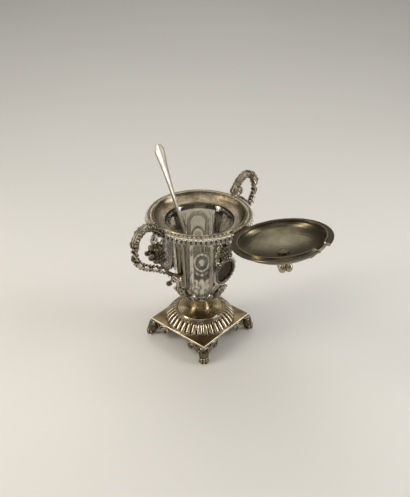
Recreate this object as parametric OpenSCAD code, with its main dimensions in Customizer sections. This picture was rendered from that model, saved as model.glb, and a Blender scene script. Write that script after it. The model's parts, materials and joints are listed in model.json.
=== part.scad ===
// Footed mustard pot: a silver cage with a glass liner, a hinged domed lid and a spoon.
// +Z is up, the floor is z = 0 and the pot's axis is the Z axis.
// The handles lie on +X and -X, the lid's hinge on +Y and the spoon leans to -Y.

/* [Base] */
// Height of the paw feet, from the floor to the underside of the plate
foot_h = 12.9; // [9:0.1:18]
// Radius of the flat pad that each paw stands on
pad_r = 3.2; // [2:0.1:4.5]
// Side of the square base plate
plate_side = 56.3; // [55.6:0.1:66]
// Thickness of the plate at its edge
plate_edge = 1.3; // [0.8:0.1:2.5]
// Rise of the hipped plate top for each millimetre in from the edge
plate_pitch = 0.12; // [0.05:0.01:0.25]
// Outer radius of the gadrooned ring
gadroon_r = 27.4; // [24:0.1:27.7]
// Height of the gadrooned ring
gadroon_h = 9.0; // [6:0.1:12]
// Height of the plain border under the gadroons
gadroon_border = 1.1; // [0.6:0.1:2]
// How far the gadroons' slope swells past a straight line
gadroon_swell = 1.5; // [0.4:0.1:2.2]
// Radius of the pedestal's foot, inside the bead ring
pedestal_r = 18.2; // [15:0.1:20]
// Width of the bead ring round the pedestal's foot
base_bead_w = 1.4; // [0.8:0.1:2]
// Height of the trumpet pedestal
pedestal_h = 13.3; // [11:0.1:18]
// Radius of the pedestal's neck
neck_r = 6.5; // [5:0.1:10]
// Wall of the spun pedestal
pedestal_wall = 1.2; // [0.8:0.1:2]
// Radius of the collar on top of the pedestal
collar_r = 7.8; // [7:0.1:12]
// Height of that collar
collar_h = 2.0; // [1.2:0.1:4]
// Radius of the tie bolt's shank
bolt_r = 1.8; // [1.2:0.1:2.5]

/* [Body] */
// Height of the leafy cup under the body
cup_h = 15.0; // [12:0.1:20]
// Height of the cage uprights between cup and rim
cage_h = 46.5; // [40:0.1:56]
// Outer radius of the glass where the cup ends
glass_belly_r = 19.4; // [17:0.1:21]
// Outer radius of the glass at the start of its flared neck
glass_neck_r = 21.4; // [19.8:0.1:23]
// Outer radius of the glass just under its flange
glass_mouth_r = 24.0; // [23:0.1:25]
// Thickness of the glass wall
glass_wall = 2.6; // [1.8:0.1:3]
// Thickness of the glass floor
glass_floor = 4.0; // [3:0.1:6]
// Width of the glass flange that hangs on the rim
flange_w = 1.6; // [1.2:0.1:2]
// Thickness of that flange
flange_t = 2.4; // [1.5:0.1:3]
// Thickness of the cage uprights
strap_t = 1.4; // [0.9:0.1:2]
// Half the angle that one upright spans round the pot
strap_half = 10; // [6:1:14]
// Radius of the wreath ring on the front and back uprights
wreath_r = 9.2; // [7:0.1:11]
// Radius of the wreath's rope
wreath_rope = 1.5; // [1:0.1:2.2]

/* [Rim] */
// Outer radius of the egg-and-tongue band
band_r = 40.0; // [38.8:0.1:42]
// Height of that band
band_h = 3.2; // [2.4:0.1:4]
// Radial depth of that band
band_t = 1.6; // [1:0.1:2.2]
// Width of the rim's top, from the lip's ridge to the band's outer edge
rim_w = 5.7; // [5:0.1:7]
// Height of the rim, from the cage to the lip
rim_h = 10.4; // [9.6:0.1:13]

/* [Handles] */
// Distance from the pot's axis to the outermost point of a handle's branch
handle_reach = 67.2; // [62:0.5:76]
// Height of the handle's top above the lip
handle_rise = 10.4; // [6:0.1:16]
// Depth of the handle's foot below the lip
handle_drop = 34.8; // [31:0.1:38]
// Radius of the handle's branch at its sheathed upper part
branch_r = 2.6; // [1.8:0.1:3.2]
// Thickness of the vine leaf
leaf_t = 2.4; // [1.4:0.1:4]
// Radius of one grape
grape_r = 2.0; // [1.4:0.1:2.4]

/* [Lid] */
// Radius of the lid's edge
lid_r = 34.5; // [34.3:0.1:35]
// Width of the flat flange round the lid
lid_flange = 4.4; // [1.6:0.1:6]
// Depth of the dome inside the lid
dome_h = 11.0; // [8:0.1:14]
// Thickness of the lid's sheet
lid_t = 1.0; // [0.7:0.1:1.2]
// Angle from closed to the open stop
lid_open = 169.0; // [150:0.5:172]
// Depth of the bezel that drops into the mouth
bezel_h = 1.0; // [0.8:0.1:2.2]
// Half the width of the clear spoon notch
notch_half = 5.0; // [4:0.1:6.5]
// Distance from the lid's centre to the notch's inner end
notch_in = 23.8; // [21:0.1:24.5]
// Thickness of the border round the notch
border_t = 1.0; // [0.6:0.1:1.6]
// Radius of the finial's lobes
lobe_r = 2.7; // [2:0.1:3.2]
// Distance of the lobes' centres from the finial's axis
lobe_ring = 3.3; // [2.6:0.1:3.8]
// Height of the finial's bud
bud_h = 8.4; // [5:0.1:11]
// Number of lobes round the finial
lobes = 4; // [4:1:8]
// Height of the finial's neck
finial_neck_h = 4.2; // [2:0.1:7]
// Radius of the nut inside the lid
finial_nut_r = 3.75; // [3:0.05:5]

/* [Hinge] */
// Distance from the lid's edge to the hinge pin
hinge_out = 2.3; // [2.1:0.1:2.9]
// Length of the hinge
hinge_len = 15.0; // [10:0.5:18]
// Radius of the knuckles
knuckle_r = 1.4; // [1.2:0.05:1.5]
// Radius of the hinge pin
pin_r = 0.7; // [0.5:0.05:0.9]

/* [Spoon] */
// Length of the spoon
spoon_len = 114.0; // [104:0.5:122]
// Lean of the spoon from upright
spoon_lean = 21.65; // [21:0.05:22.3]
// Thickness of the spoon's stem
spoon_t = 1.6; // [1:0.1:2]
// Width of the stem just above the bowl
stem_w = 2.6; // [2:0.1:4]
// Width of the stem's broad end
stem_end_w = 10.0; // [5:0.1:11]
// Outer radius of the round bowl
bowl_r = 7.2; // [5:0.1:8.5]
// Wall of the bowl
bowl_wall = 0.9; // [0.6:0.1:1.4]

/* [Fits] */
// Gap between glass and silver
glass_gap = 0.3; // [0.2:0.05:0.5]
// Gap between the closed lid and the lip
lid_gap = 0.3; // [0.2:0.05:0.6]
// Radial play of the hinge pin in the lid's knuckles
pin_play = 0.05; // [0.02:0.01:0.1]
// Side play between hinge knuckles
knuckle_play = 0.15; // [0.1:0.05:0.3]
// Radial play of the tie bolt in the pieces that it clamps
bolt_play = 0.1; // [0.05:0.05:0.3]

/* [Hidden] */
$fn = 64;
arc_steps = 12;
big = 400;

// Heights, from the floor up
z_seat = foot_h + plate_edge;
z_pedestal = z_seat + gadroon_h;
z_collar = z_pedestal + pedestal_h;
z_cup = z_collar + collar_h;
z_cage = z_cup + cup_h;
z_rim = z_cage + cage_h;
z_lip = z_rim + rim_h;

// Cup and glass
cup_floor = 2.2;
cup_bolt_head_r = 4.0;
cup_bolt_head_h = 1.0;
glass_bottom = z_cup + cup_floor + glass_gap;
glass_foot_r = 9.0;
z_flare = z_rim - 12;
ledge_h = 1.5;
z_ledge = z_rim + ledge_h;
z_glass_top = z_ledge + glass_gap + flange_t;
flange_r = glass_mouth_r + flange_w;
glass_lip_r = flange_r - 2.2;

// Rim
rim_hole_r = glass_mouth_r + glass_gap;
rim_well_r = flange_r + glass_gap;
rim_flat_r = rim_hole_r + 3.7;
z_well_top = z_glass_top + 0.2;
rim_out_r = band_r - band_t;
lip_r = band_r - rim_w;
lip_in_r = lip_r - 0.6;
z_lip_in = z_lip - 0.2;
z_band_top = z_lip - 1.4;
z_band = z_band_top - band_h;
z_step = z_lip - 1.2;
step_in_r = lip_r + 0.9;
step_out_r = step_in_r + 1.4;
rim_bead_w = 1.2;
rim_bead_h = 0.8;

// Cage uprights
strap_r0 = glass_belly_r + glass_gap + 0.1;
strap_r1 = glass_neck_r + glass_gap + 0.1;
strap_r2 = glass_mouth_r + glass_gap + 0.1;
z_wreath = z_cage + 15;
wreath_y = strap_r1 + strap_t + wreath_rope - 0.4;

// Lid and hinge, in the closed pose
z_lid = z_lip + lid_gap;
hinge_y = max(lid_r, lip_r) + hinge_out;
hinge_z = z_lid - 0.9;
dome_edge_r = lid_r - lid_flange;
bezel_seat = 0.6;
bezel_out_r = dome_edge_r + bezel_seat;
bezel_t = 0.9;
slot_half = notch_half + border_t;
slot_y = notch_in - border_t + slot_half;
seat_floor = hinge_z - knuckle_r - 0.8;
seat_t = 0.5;
seat_in_y = hinge_y - knuckle_r - 0.5;
seat_out_y = hinge_y + 3.0;
seat_gap = 0.25;
knuckles = 5;
knuckle_w = hinge_len / knuckles;
nut_h = 1.6;
// The dome is half an ellipse in section, grown by a thickness, with a flat seat at its crown
function dome_z(r, grow) = z_lid + (dome_h + grow) * sqrt(1 - pow(r / (dome_edge_r + grow), 2));
function dome_r(z, grow) = (dome_edge_r + grow) * sqrt(1 - pow((z - z_lid) / (dome_h + grow), 2));
z_apex = dome_z(finial_nut_r, 0);
z_crown = dome_z(finial_nut_r, lid_t);
stud_r = 1.4;

// Spoon, in its own frame: the tip of the bowl at 0, the stem up +Z, the bowl open to -Y
bowl_sink = 2.6;
bowl_depth = 5.8;
spoon_lift_off = 1.4;
spoon_low_z = glass_bottom + glass_floor + spoon_lift_off;
spoon_edge_gap = 0.5;
spoon_edge_y = glass_lip_r - spoon_edge_gap - spoon_t / (2 * cos(spoon_lean));
spoon_rest_y = (z_glass_top - spoon_low_z) * tan(spoon_lean) - spoon_edge_y;

// Colours: old silver, polished and in shadow, gilt patina, and clear glass
SILVER = [0.66, 0.61, 0.50];
DARK = [0.45, 0.40, 0.31];
GILT = [0.60, 0.52, 0.35];
PALE = [0.84, 0.82, 0.77];
GLASS = [0.80, 0.85, 0.82, 0.55];

// Points along an ellipse's arc
function arc(cx, cz, rx, rz, a0, a1, n = arc_steps) =
  [for (i = [0 : n]) let (a = a0 + (a1 - a0) * i / n) [cx + rx * cos(a), cz + rz * sin(a)]];

// A smooth curve through points, n steps for each stretch
function near(p, i) = p[max(0, min(len(p) - 1, i))];
function bend(a, b, c, d, t) =
  0.5 * (2 * b + (c - a) * t + (2 * a - 5 * b + 4 * c - d) * t * t + (3 * b - a - 3 * c + d) * t * t * t);
function curve(p, n) =
  concat([for (i = [0 : len(p) - 2], k = [0 : n - 1])
    bend(near(p, i - 1), p[i], p[i + 1], near(p, i + 2), k / n)], [p[len(p) - 1]]);
function heading(p, i) =
  let (d = near(p, i + 1) - near(p, i - 1)) d / norm(d);

// A round branch that follows points in the XZ plane, with a radius at each point
module branch(path, radii, sides = 12) {
  rings = len(path);
  pts = [for (i = [0 : rings - 1], j = [0 : sides - 1])
    let (d = heading(path, i), a = 360 * j / sides, across = radii[i] * cos(a))
    [path[i][0] - d[1] * across, radii[i] * sin(a), path[i][1] + d[0] * across]];
  side_faces = [for (i = [0 : rings - 2], j = [0 : sides - 1])
    let (a = i * sides + j, b = i * sides + (j + 1) % sides, c = a + sides, d = b + sides)
    each [[a, b, c], [b, d, c]]];
  start_cap = [for (j = [1 : sides - 2]) [0, j + 1, j]];
  last = (rings - 1) * sides;
  end_cap = [for (j = [1 : sides - 2]) [last, last + j, last + j + 1]];
  polyhedron(points = pts, faces = concat(side_faces, start_cap, end_cap), convexity = 8);
}

// One cast paw foot at the corner in the direction (sx, sy): a cabriole leg, toes and two leafy wings
module paw_foot(sx, sy) {
  toe_r = 1.7;
  pad_h = 2.2;
  wing_l = 18;
  wing_t = 2.0;
  wing_in = 1.2;
  corner = plate_side / 2;
  leg = curve([[-6.4, foot_h], [-3.0, 0.72 * foot_h], [-1.6, 0.45 * foot_h], [0, 0.12 * foot_h]], 3);
  girth = [1.15, 1.1, 1.02, 0.92, 0.84, 0.8, 0.78, 0.82, 0.9, 0.96];
  wing = [for (w = [[-0.05, 1], [1, 1], [1.02, 0.78], [0.98, 0.5], [0.87, 0.33], [0.72, 0.34], [0.6, 0.48],
    [0.44, 0.46], [0.26, 0.36], [0.1, 0.24], [-0.05, 0.3]]) [-w[0] * wing_l, w[1] * foot_h]];
  color(DARK)
    mirror([sx < 0 ? 1 : 0, 0, 0])
      mirror([0, sy < 0 ? 1 : 0, 0])
        difference() {
          translate([corner, corner, 0]) {
            cylinder(r = pad_r, h = pad_h);
            rotate([0, 0, 45])
              branch(leg, pad_r * girth);
            for (turn = [0, 45, 90])
              rotate([0, 0, turn])
                translate([pad_r - 0.4, 0, toe_r])
                  sphere(r = toe_r);
            for (flip = [0, 1])
              mirror([flip, -flip, 0])
                translate([0, wing_t / 2 - wing_in, 0])
                  rotate([90, 0, 0])
                    linear_extrude(wing_t)
                      polygon(wing);
          }
          translate([0, 0, foot_h])
            cylinder(r = big, h = big);
        }
}

module base_plate() {
  half = plate_side / 2;
  top = z_seat + plate_pitch * half;
  hip = [[-half, foot_h], [half, foot_h], [half, z_seat], [0, top], [-half, z_seat]];
  color(GILT)
    difference() {
      intersection() {
        translate([0, half, 0])
          rotate([90, 0, 0])
            linear_extrude(plate_side)
              polygon(hip);
        rotate([0, 0, 90])
          translate([0, half, 0])
            rotate([90, 0, 0])
              linear_extrude(plate_side)
                polygon(hip);
      }
      translate([0, 0, z_seat])
        cylinder(r = gadroon_r, h = big);
      cylinder(r = bolt_r + bolt_play, h = big);
    }
}

module gadroon_ring() {
  shelf_r = pedestal_r + base_bead_w;
  hole_r = pedestal_r - pedestal_wall - 0.8;
  low = [gadroon_r, z_seat + gadroon_border];
  climb = [shelf_r, z_pedestal] - low;
  out = [climb[1], -climb[0]] / norm(climb);
  slope = [for (i = [0 : arc_steps])
    let (t = i / arc_steps) low + climb * t + out * gadroon_swell * 4 * t * (1 - t)];
  color(GILT)
    rotate_extrude()
      polygon(concat([[hole_r, z_seat], [gadroon_r, z_seat]], slope, [[hole_r, z_pedestal]]));
}

module base_bead() {
  half = base_bead_w / 2;
  color(PALE)
    rotate_extrude()
      polygon(arc(pedestal_r + half, z_pedestal, half, half + 0.2, 0, 180));
}

module pedestal() {
  sweep = pedestal_r - neck_r;
  rise = pedestal_h - 3.1;
  roof = 2.0;
  color(GILT)
    rotate_extrude()
      polygon(concat(
        arc(pedestal_r, z_pedestal + rise, sweep, rise, 270, 180),
        [[neck_r, z_collar], [bolt_r + bolt_play, z_collar], [bolt_r + bolt_play, z_collar - roof],
          [neck_r - pedestal_wall, z_collar - roof]],
        arc(pedestal_r - pedestal_wall, z_pedestal + rise, sweep, rise, 180, 270)));
}

module stem_collar() {
  swell = collar_h / 2;
  color(GILT)
    rotate_extrude()
      polygon(concat(
        [[bolt_r + bolt_play, z_collar]],
        arc(collar_r - swell, z_collar + swell, swell, swell, -90, 90, 8),
        [[bolt_r + bolt_play, z_cup]]));
}

module tie_bolt() {
  tail = 4.2;
  color(PALE)
    rotate_extrude()
      polygon([[0, foot_h - tail], [bolt_r, foot_h - tail],
        [bolt_r, z_cup + cup_floor - cup_bolt_head_h],
        [cup_bolt_head_r, z_cup + cup_floor - cup_bolt_head_h],
        [cup_bolt_head_r, z_cup + cup_floor], [0, z_cup + cup_floor]]);
}

module tie_nut() {
  nut_t = 2.6;
  color(PALE)
    difference() {
      translate([0, 0, foot_h - nut_t])
        cylinder(r = 2.1 * bolt_r, h = nut_t, $fn = 6);
      cylinder(r = bolt_r, h = foot_h);
    }
}

// The cup's wall follows the glass inside it, and its edge is cut into leaf tips
module leaf_cup() {
  leaves = 4;
  wall_top = glass_belly_r + glass_gap;
  dip = 8.5;
  color(SILVER)
    difference() {
      rotate_extrude()
        polygon(concat(
          [[bolt_r + bolt_play, z_cup]],
          arc(collar_r - 0.4, z_cage, wall_top + strap_t + 0.1 - collar_r + 0.4, cup_h, 270, 360),
          arc(glass_foot_r, z_cage, wall_top - glass_foot_r, z_cage - glass_bottom + glass_gap, 0, -90),
          [[cup_bolt_head_r, z_cup + cup_floor],
            [cup_bolt_head_r, z_cup + cup_floor - cup_bolt_head_h],
            [bolt_r + bolt_play, z_cup + cup_floor - cup_bolt_head_h]]));
      for (k = [0 : leaves - 1])
        rotate([0, 0, (k + 0.5) * 360 / leaves])
          translate([0, 0, z_cage])
            rotate([0, 90, 0])
              cylinder(r = dip, h = big);
    }
}

// Strip of the cage that runs from the cup to the rim, centred on +X
strap_in = [[strap_r0, z_cage], [strap_r1, z_flare], [strap_r2, z_rim]];
strap_out = [for (p = strap_in) [p[0] + strap_t, p[1]]];

module strap() {
  rotate([0, 0, -strap_half])
    rotate_extrude(angle = 2 * strap_half)
      polygon(concat(strap_in, [strap_out[2], strap_out[1], strap_out[0]]));
}

// Upright with a wreath round a plain boss, and a knot of fruit above it
module wreath_upright(turn) {
  boss_t = 0.8;
  knot = [[0, 2.6, 2.1], [-3.0, 5.4, 2.0], [3.1, 5.2, 1.9], [0.1, 7.2, 2.1], [-1.6, 10.4, 1.9],
    [1.8, 10.1, 1.8]];
  color(SILVER)
    rotate([0, 0, turn]) {
      strap();
      translate([wreath_y, 0, z_wreath])
        rotate([0, 90, 0])
          rotate_extrude()
            polygon(concat([[0, strap_r1 - wreath_y], [wreath_r + wreath_rope - 0.4, strap_r1 - wreath_y]],
              arc(wreath_r, 0, wreath_rope, wreath_rope, -40, 200, 8), [[0, -boss_t]]));
      for (k = knot)
        translate([strap_r1 + strap_t + 1, k[0], z_wreath + wreath_r + k[1]])
          sphere(r = k[2], $fn = 32);
    }
}

module plain_upright(turn) {
  color(SILVER)
    rotate([0, 0, turn])
      strap();
}

// Slot in the rim's back that the hinge sits in
module hinge_pocket() {
  translate([-hinge_len / 2 - seat_gap, seat_in_y, seat_floor])
    cube([hinge_len + 2 * seat_gap, big, big]);
}

under_curve = arc(rim_out_r, z_rim, rim_out_r - rim_flat_r, z_band - z_rim, 180, 90);

module mouth_rim() {
  color(SILVER)
    difference() {
      rotate_extrude()
        polygon(concat(
          [[rim_hole_r, z_rim]],
          under_curve,
          [[rim_out_r, z_band_top], [step_out_r, z_step], [step_in_r, z_step], [step_in_r, z_lip - 0.7],
            [lip_r + 0.5, z_lip - 0.2], [lip_r, z_lip]],
          arc(rim_well_r + 0.3, z_lip_in, lip_in_r - rim_well_r - 0.3, z_lip_in - z_well_top, 0, -90),
          [[rim_well_r, z_well_top], [rim_well_r, z_ledge], [rim_hole_r, z_ledge]]));
      hinge_pocket();
    }
}

module egg_band() {
  ease = 0.6;
  color(PALE)
    difference() {
      rotate_extrude()
        polygon([[rim_out_r, z_band], [band_r - ease, z_band], [band_r, z_band + ease],
          [band_r, z_band_top - ease], [band_r - ease, z_band_top], [rim_out_r, z_band_top]]);
      hinge_pocket();
    }
}

module rim_bead() {
  half = rim_bead_w / 2;
  color(PALE)
    difference() {
      rotate_extrude()
        polygon(arc(step_in_r + half, z_step, half, rim_bead_h, 0, 180, 8));
      hinge_pocket();
    }
}

// Solid outline of rim and band, used to trim what is soldered under them
module rim_outline() {
  rotate_extrude()
    polygon(concat([[0, z_rim]], under_curve,
      [[band_r, z_band], [band_r, z_band_top], [rim_out_r, z_band_top], [rim_out_r, z_lip], [0, z_lip]]));
}

// Solid outline of the cage uprights, used to trim the handle's root
module cage_outline() {
  rotate_extrude()
    polygon(concat([[0, z_cage]], strap_out, [[0, z_rim]]));
}

// A point of the handle: s runs from the band to the reach, h from the lip to rise or drop
function grip(s, h) =
  [band_r + s * (handle_reach - band_r), z_lip + h * (h > 0 ? handle_rise : handle_drop)];
grip_knots = [grip(-0.05, -0.11), grip(0.07, 0.18), grip(0.28, 0.71), grip(0.53, 1), grip(0.78, 0.86),
  grip(0.95, 0.35), grip(1, -0.11), grip(0.957, -0.32), grip(0.83, -0.47), grip(0.61, -0.6),
  grip(0.36, -0.72), grip(0.11, -0.85), grip(-0.142, -1)];
grip_path = curve(grip_knots, 3);
foot_at = grip_knots[len(grip_knots) - 1];
root_at = [strap_r0 + 0.3 * (strap_r1 - strap_r0), foot_at[1] - 10];
tip_at = [foot_at[0] - 1, foot_at[1] - 11];
tip_r = 1.9;
root_path = curve([foot_at + [1.5, 0.9], foot_at + [-4, -4.2], root_at + [5, 1.5], root_at], 4);
curl_path = curve([foot_at + [-5, -5.6], foot_at + [-4.4, -9.4], tip_at], 4);

module handle_blank() {
  last = len(grip_path) - 1;
  branch(grip_path, [for (i = [0 : last]) branch_r * (1 - 0.25 * i / last)]);
  branch(root_path, [for (p = root_path) 0.62 * branch_r]);
  branch(curl_path, [for (p = curl_path) 0.42 * branch_r]);
  translate([tip_at[0], 0, tip_at[1]])
    sphere(r = tip_r, $fn = 32);
}

module vine_handle(turn) {
  color(DARK)
    rotate([0, 0, turn])
      difference() {
        handle_blank();
        rim_outline();
        cage_outline();
      }
}

// A vine leaf that hangs from the rim's underside to the handle's foot, in the handle's plane
leaf_tip = foot_at;
leaf_in = 8.2;
leaf_out = 3.0;
leaf_drop = z_band - leaf_tip[1];
leaf_edge = [[rim_out_r - 0.9 * leaf_in, z_band + 1], [rim_out_r - leaf_in, z_band - 0.27 * leaf_drop],
  [rim_out_r - 0.85 * leaf_in, z_band - 0.56 * leaf_drop], leaf_tip + [-2.6, 0.13 * leaf_drop],
  leaf_tip + [-0.6, 0.8], leaf_tip + [2.4, 2.4], [rim_out_r + 0.53 * leaf_out, z_band - 0.6 * leaf_drop],
  [rim_out_r + leaf_out, z_band - 0.33 * leaf_drop], [rim_out_r + 0.6 * leaf_out, z_band - 0.12 * leaf_drop],
  [rim_out_r - 0.6, z_band + 1]];

module leaf_blank() {
  translate([0, leaf_t / 2, 0])
    rotate([90, 0, 0])
      linear_extrude(leaf_t)
        polygon(leaf_edge);
}

module vine_leaf(turn) {
  color(SILVER)
    rotate([0, 0, turn])
      difference() {
        leaf_blank();
        rim_outline();
        handle_blank();
      }
}

// Rows of grapes that narrow downwards, in two layers, on the outer edge of the leaf
bunch_rows = [3, 3, 2, 2, 1];

module bunch(turn) {
  pitch = 1.62 * grape_r;
  color(DARK)
    rotate([0, 0, turn])
      difference() {
        for (row = [0 : len(bunch_rows) - 1], k = [0 : bunch_rows[row] - 1], side = [-1, 1])
          translate([rim_out_r + 4.2 + pitch * (k + 0.3 * (row % 2)), side * 0.62 * grape_r,
            z_band - 5.5 - pitch * row])
            sphere(r = grape_r, $fn = 24);
        leaf_blank();
      }
}

// Frame of the closed lid turned back to its open stop
module opened() {
  translate([0, hinge_y, hinge_z])
    rotate([-lid_open, 0, 0])
      translate([0, -hinge_y, -hinge_z])
        children();
}

// Knuckle number k of the row along the hinge
module knuckle(k, play) {
  translate([-hinge_len / 2 + k * knuckle_w + play, hinge_y, hinge_z])
    rotate([0, 90, 0])
      cylinder(r = knuckle_r, h = knuckle_w - 2 * play);
}

module pin_bore(play) {
  translate([-big / 2, hinge_y, hinge_z])
    rotate([0, 90, 0])
      cylinder(r = pin_r + play, h = big);
}

module hinge_seat() {
  stop_t = 1.0;
  color(SILVER)
    difference() {
      union() {
        translate([-hinge_len / 2, seat_in_y, seat_floor])
          cube([hinge_len, seat_out_y - seat_in_y, seat_t]);
        translate([-hinge_len / 2, seat_out_y - stop_t, seat_floor])
          cube([hinge_len, stop_t, seat_t + 0.2]);
        for (k = [0 : 2 : knuckles - 1]) {
          knuckle(k, 0);
          translate([-hinge_len / 2 + k * knuckle_w, hinge_y - 0.8 * knuckle_r, seat_floor])
            cube([knuckle_w, 1.6 * knuckle_r, hinge_z - seat_floor]);
        }
      }
      pin_bore(0);
    }
}

module hinge_pin() {
  color(PALE)
    translate([-hinge_len / 2, hinge_y, hinge_z])
      rotate([0, 90, 0])
        cylinder(r = pin_r, h = hinge_len);
}

// Strip along the lid's edge, with tabs to its knuckles
module lid_leaf() {
  leaf_h = lid_t - 0.2;
  root = 0.6;
  strip_y = hinge_y - knuckle_r - 0.15;
  color(SILVER)
    opened()
      difference() {
        union() {
          translate([-hinge_len / 2, lid_r - root, z_lid])
            cube([hinge_len, strip_y - lid_r + root, leaf_h]);
          for (k = [1 : 2 : knuckles - 1]) {
            knuckle(k, knuckle_play);
            translate([-hinge_len / 2 + k * knuckle_w + knuckle_play, lid_r - root, z_lid])
              cube([knuckle_w - 2 * knuckle_play, hinge_y - lid_r + root, leaf_h]);
          }
        }
        pin_bore(pin_play);
        cylinder(r = lid_r, h = big);
      }
}

// Upright prism of the spoon notch, with the given half width
module notch_prism(half) {
  translate([0, -slot_y, 0])
    cylinder(r = half, h = big);
  translate([-half, -slot_y - big, 0])
    cube([2 * half, big, big]);
}

// Points of the dome's section between two radii
function dome_arc(grow, r0, r1) =
  let (a = dome_edge_r + grow)
  arc(0, z_lid, a, dome_h + grow, acos(r0 / a), acos(min(1, r1 / a)));

module lid_dome() {
  ease = 0.3;
  z_top = z_lid + lid_t;
  color(SILVER)
    opened()
      difference() {
        rotate_extrude()
          polygon(concat(
            [[stud_r, z_crown], [stud_r, z_apex]],
            dome_arc(0, finial_nut_r, dome_edge_r),
            [[lid_r - ease, z_lid], [lid_r, z_lid + ease], [lid_r, z_top - ease], [lid_r - ease, z_top]],
            dome_arc(lid_t, dome_r(z_top, lid_t), finial_nut_r)));
        notch_prism(slot_half);
      }
}

module lid_bezel() {
  color(SILVER)
    opened()
      difference() {
        rotate_extrude()
          polygon([[bezel_out_r - bezel_t, z_lid - bezel_h], [bezel_out_r, z_lid - bezel_h],
            [bezel_out_r, z_lid], [bezel_out_r - bezel_t, z_lid]]);
        notch_prism(slot_half);
      }
}

// Raised border round the notch, a little proud of the dome on both sides
module notch_border() {
  proud = 0.7;
  sunk = -0.3;
  end_r = lid_r - 0.2;
  z_top = z_lid + lid_t + proud;
  color(PALE)
    opened()
      intersection() {
        difference() {
          notch_prism(slot_half);
          notch_prism(notch_half);
        }
        rotate_extrude()
          polygon(concat(
            dome_arc(sunk, notch_in - 3, dome_edge_r + sunk),
            [[end_r, z_lid], [end_r, z_top]],
            dome_arc(lid_t + proud, dome_r(z_top, lid_t + proud), notch_in - 3)));
      }
}

// Lobed bud on a neck, with the stud that holds it in the lid
module finial() {
  foot_w = 3.2;
  neck_w = 1.8;
  z_neck = z_crown + finial_neck_h;
  bud_w = lobe_ring + lobe_r;
  color(GILT)
    opened() {
      rotate_extrude()
        polygon([[0, z_apex - nut_h], [stud_r, z_apex - nut_h], [stud_r, z_crown], [foot_w, z_crown],
          [foot_w - 0.2, z_crown + 0.8], [neck_w, z_crown + 1.6], [neck_w, z_neck + 1], [0, z_neck + 1]]);
      intersection() {
        translate([0, 0, z_neck])
          linear_extrude(bud_h)
            for (k = [0 : lobes - 1])
              rotate(k * 360 / lobes)
                translate([lobe_ring, 0])
                  circle(r = lobe_r);
        rotate_extrude()
          polygon([[0, z_neck], [0.55 * bud_w, z_neck], [0.9 * bud_w, z_neck + 0.14 * bud_h],
            [bud_w, z_neck + 0.36 * bud_h], [bud_w, z_neck + 0.66 * bud_h],
            [0.9 * bud_w, z_neck + 0.88 * bud_h], [0.6 * bud_w, z_neck + bud_h], [0, z_neck + 0.92 * bud_h]]);
      }
    }
}

module finial_nut() {
  color(PALE)
    opened()
      difference() {
        translate([0, 0, z_apex - nut_h])
          cylinder(r = finial_nut_r, h = nut_h);
        cylinder(r = stud_r, h = big);
      }
}

module glass_liner() {
  inner_r = glass_belly_r - glass_wall;
  z_floor = glass_bottom + glass_floor;
  color(GLASS)
    rotate_extrude()
      polygon(concat(
        [[0, glass_bottom]],
        arc(glass_foot_r, z_cage, glass_belly_r - glass_foot_r, z_cage - glass_bottom, -90, 0),
        [[glass_neck_r, z_flare], [glass_mouth_r, z_rim], [glass_mouth_r, z_ledge + glass_gap],
          [flange_r, z_ledge + glass_gap], [flange_r, z_glass_top - 0.4], [flange_r - 0.4, z_glass_top],
          [glass_lip_r, z_glass_top], [glass_mouth_r - glass_wall, z_rim - 0.5],
          [glass_neck_r - glass_wall, z_flare]],
        arc(8, z_cage + 1.5, inner_r - 8, z_cage + 1.5 - z_floor, 0, -90),
        [[0, z_floor]]));
}

module mustard_spoon() {
  half = spoon_t / 2;
  neck_z = bowl_r + 4.6;
  shoulder = 4.5;
  flare_z = 0.6 * spoon_len;
  flare_w = (stem_w + stem_end_w) * 0.5;
  outline = concat(
    [[stem_w / 2, neck_z], [stem_w / 2, flare_z], [flare_w / 2, 0.83 * spoon_len],
      [stem_end_w / 2, spoon_len - shoulder],
      [stem_end_w / 2 - 0.9, spoon_len - shoulder + 0.9]],
    arc(0, spoon_len - shoulder + 1.3, stem_end_w / 2 - 0.9, shoulder - 1.3, 0, 180, 10),
    [[0.9 - stem_end_w / 2, spoon_len - shoulder + 0.9], [-stem_end_w / 2, spoon_len - shoulder],
      [-flare_w / 2, 0.83 * spoon_len], [-stem_w / 2, flare_z], [-stem_w / 2, neck_z]]);
  color(PALE)
    translate([0, spoon_rest_y, spoon_low_z])
      rotate([spoon_lean, 0, 0]) {
        translate([0, half, 0])
          rotate([90, 0, 0])
            linear_extrude(spoon_t)
              polygon(outline);
        translate([0, bowl_sink - bowl_r, bowl_r])
          intersection() {
            difference() {
              sphere(r = bowl_r);
              sphere(r = bowl_r - bowl_wall);
            }
            translate([-big / 2, bowl_r - bowl_depth, -big / 2])
              cube([big, big, big]);
          }
      }
}

paw_foot(1, 1);  // foot_right_back
paw_foot(-1, 1);  // foot_left_back
paw_foot(-1, -1);  // foot_left_front
paw_foot(1, -1);  // foot_right_front
base_plate();
gadroon_ring();
base_bead();
pedestal();
stem_collar();
tie_bolt();
tie_nut();
leaf_cup();
wreath_upright(90);  // wreath_upright_back
wreath_upright(-90);  // wreath_upright_front
plain_upright(0);  // plain_upright_right
plain_upright(180);  // plain_upright_left
mouth_rim();
egg_band();
rim_bead();
vine_handle(0);  // handle_right
vine_handle(180);  // handle_left
vine_leaf(0);  // vine_leaf_right
vine_leaf(180);  // vine_leaf_left
bunch(0);  // grapes_right
bunch(180);  // grapes_left
hinge_seat();
hinge_pin();
lid_leaf();
lid_dome();
lid_bezel();
notch_border();
finial();
finial_nut();
glass_liner();
mustard_spoon();
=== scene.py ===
import json
import math

import bmesh
import bpy
import numpy as np
from mathutils import Euler, Matrix, Vector
from mathutils.bvhtree import BVHTree


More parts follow.
